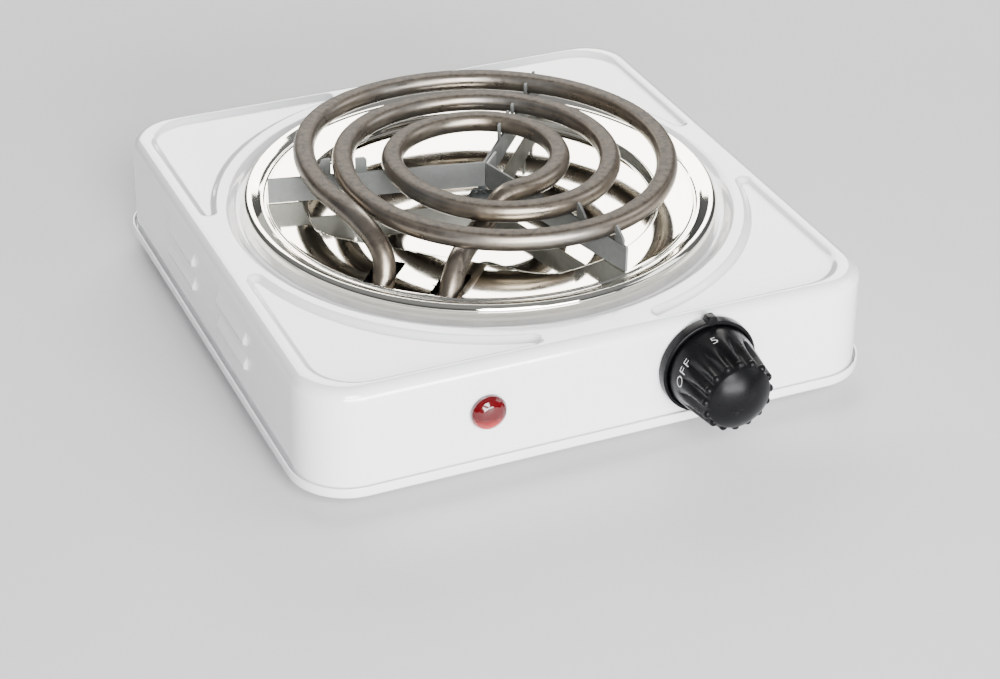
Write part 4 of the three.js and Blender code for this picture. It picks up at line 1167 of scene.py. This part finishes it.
def flat_mark(text):
    """A mark lying in XY, cut finely enough to be bent: points and faces."""
    curve = bpy.data.curves.new("mark", "FONT")
    curve.body = text
    curve.size = MARK_SIZE
    curve.offset = -0.065
    curve.align_x = "CENTER"
    curve.align_y = "CENTER"
    curve.space_character = 1.12
    holder = bpy.data.objects.new("mark", curve)
    bpy.context.scene.collection.objects.link(holder)
    made = bpy.data.meshes.new_from_object(holder.evaluated_get(bpy.context.evaluated_depsgraph_get()))
    work = bmesh.new()
    work.from_mesh(made)
    bmesh.ops.triangulate(work, faces=work.faces)
    long_edges = [e for e in work.edges if e.calc_length() > 0.8]
    bmesh.ops.subdivide_edges(work, edges=long_edges, cuts=2)
    points = np.array([v.co for v in work.verts])
    faces = [tuple(v.index for v in f.verts) for f in work.faces]
    work.free()
    bpy.data.objects.remove(holder)
    return points, faces


def make_markings():
    """The scale on the knob's skirt, generic figures read from the front."""
    shapes = []
    for text, turned_left in MARKS.items():
        flat, faces = flat_mark(text)
        height = MARK_HEIGHT - flat[:, 1]
        angles = math.radians(90 + turned_left) - MARK_WIDENING * flat[:, 0] / MARK_RADIUS
        shapes.append((round_points(radius_at(height, CREST) + 0.07, angles, height), faces))
    points, faces = merged(*shapes)
    piece = add_piece("dial_marks", out_of_front(points, KNOB_X), faces, "black_plastic", body="dial")
    piece.data.materials[0] = MARKING


def make_bezel():
    profile = filleted(
        [
            (SHAFT_HOLE, GAP),
            (BEZEL_RADIUS, GAP),
            (BEZEL_RADIUS, BEZEL_DEPTH),
            (BEZEL_BORE, BEZEL_DEPTH),
            (BEZEL_BORE, GAP + 1.2),
            (SHAFT_HOLE, GAP + 1.2),
            (SHAFT_HOLE, GAP),
        ],
        [0, 0.3, 0.7, 0.3, 0.3, 0, 0],
    )
    ring = lathe(profile, 160)
    nub_outline = filleted([(-2.4, 0), (2.4, 0), (1.5, 2.7), (-1.5, 2.7)], 0.5, 3, closed=True)
    nub, nub_faces = cut_plate("nub", [nub_outline], BEZEL_DEPTH - GAP, 0.35)
    nub = nub + [0, BEZEL_RADIUS - 0.8, GAP + (BEZEL_DEPTH - GAP) / 2]
    points, faces = merged(ring, (nub, nub_faces))
    add_piece("dial_ring", out_of_front(points, KNOB_X), faces, "black_plastic", ["knob_bezel"])


# -------- lamp and gland
def make_lamp():
    profile = filleted(
        [(5, -9), (5, GAP), (6.8, GAP), (6.8, 1.7), (5.9, 3.2), (4.1, 4.4), (2.1, 4.95), (0, 5.1)],
        [0, 0, 0.2, 0.5, 2, 2, 2, 0],
    )
    outer = lathe(profile, 96)
    inner_profile = [(0, 2), (1.8, 1.9), (3.6, 1), (3.6, -9), (5, -9)]
    points, faces = merged(outer, lathe(inner_profile, 48))
    add_piece("signal_lens", out_of_front(points, LAMP_X), faces, "red_lens", ["lamp_lens"])


def make_gland():
    profile = filleted(
        [(3.6, -9), (6.2, -9), (6.2, GAP), (9, GAP), (9, 1.8), (7, 5), (3.6, 5), (3.6, -9)],
        [0, 0.2, 0, 0.4, 0.8, 0.8, 0.6, 0],
    )
    points, faces = lathe(profile, 96)
    points = np.column_stack([points[:, 0] + GLAND_X, REAR_Y + points[:, 2], GLAND_Z - points[:, 1]])
    add_piece("rear_gland", points, faces, "black_plastic", ["cord_gland"])


make_housing()
make_bottom_cover()
make_feet()
make_drip_pan()
make_coil()
make_main_strip()
make_third_arm()
make_centre_screw()
make_knob()
make_markings()
make_bezel()
make_lamp()
make_gland()


# -------- floor, light and camera
def make_floor():
    half = 6
    corners = [(-half, -half, 0), (half, -half, 0), (half, half, 0), (-half, half, 0)]
    mesh = bpy.data.meshes.new("floor")
    mesh.from_pydata(corners, [], [(0, 1, 2, 3)])
    m = Nodes("floor")
    m.colour(m.ramp(m.noise(3), (0.3, 0.62), (0.7, 0.66)))
    m.set(Roughness=0.7)
    mesh.materials.append(m.material)
    floor = bpy.data.objects.new("floor", mesh)
    bpy.context.scene.collection.objects.link(floor)


def add_light(name, at, size, power, colour, target=(0, 0, 0.04)):
    """A rectangular soft light that faces the target."""
    light = bpy.data.lights.new(name, "AREA")
    light.shape = "RECTANGLE"
    light.size, light.size_y = size
    light.energy = power
    light.color = colour
    lamp = bpy.data.objects.new(name, light)
    lamp.location = at
    lamp.rotation_euler = (Vector(target) - Vector(at)).to_track_quat("-Z", "Y").to_euler()
    bpy.context.scene.collection.objects.link(lamp)


def make_world():
    """Soft light from all round, dim at the horizon and bright overhead."""
    world = bpy.data.worlds.new("studio")
    world.use_nodes = True
    tree = world.node_tree
    direction = tree.nodes.new("ShaderNodeTexCoord").outputs["Generated"]
    split = tree.nodes.new("ShaderNodeSeparateXYZ")
    tree.links.new(direction, split.inputs[0])
    sky = tree.nodes.new("ShaderNodeValToRGB")
    stops = ((0.0, 0.06), (0.35, 0.15), (0.85, 0.32))
    sky.color_ramp.elements.new(0.5)
    for element, (position, level) in zip(sky.color_ramp.elements, stops):
        element.position = position
        element.color = (0.92 * level, 0.95 * level, level, 1)
    tree.links.new(split.outputs["Z"], sky.inputs["Fac"])
    tree.links.new(sky.outputs["Color"], tree.nodes["Background"].inputs["Color"])
    bpy.context.scene.world = world


def make_light():
    add_light("back_softbox", (0.4, 1.4, 1.0), (1.7, 0.8), 42, (1.0, 0.98, 0.94))
    add_light("low_front", (-0.05, -1.8, 0.42), (1.5, 0.62), 95, (0.98, 0.99, 1.0))
    add_light("front_key", (-0.2, -1.45, 1.05), (0.7, 0.5), 36, (0.98, 0.99, 1.0))
    add_light("right_fill", (1.6, -0.5, 0.9), (0.9, 0.9), 8, (0.95, 0.97, 1.0))


def make_camera():
    azimuth, elevation, roll = map(math.radians, (CAMERA_AZIMUTH, CAMERA_ELEVATION, CAMERA_ROLL))
    back = Vector(
        (
            math.sin(azimuth) * math.cos(elevation),
            -math.cos(azimuth) * math.cos(elevation),
            math.sin(elevation),
        )
    )
    right = (-back).cross(Vector((0, 0, 1))).normalized()
    up = back.cross(right)
    tilted_right = right * math.cos(roll) + up * math.sin(roll)
    tilted_up = up * math.cos(roll) - right * math.sin(roll)
    look_at = Vector(CAMERA_TARGET) + CASE_ORIGIN
    matrix = Matrix((tilted_right, tilted_up, back)).transposed().to_4x4()
    matrix.translation = look_at + back * CAMERA_DISTANCE
    camera = bpy.data.objects.new("camera", bpy.data.cameras.new("camera"))
    camera.data.lens = CAMERA_LENS
    camera.data.sensor_width = 36
    camera.matrix_world = matrix
    bpy.context.scene.collection.objects.link(camera)
    bpy.context.scene.camera = camera


make_floor()
make_world()
make_light()
make_camera()
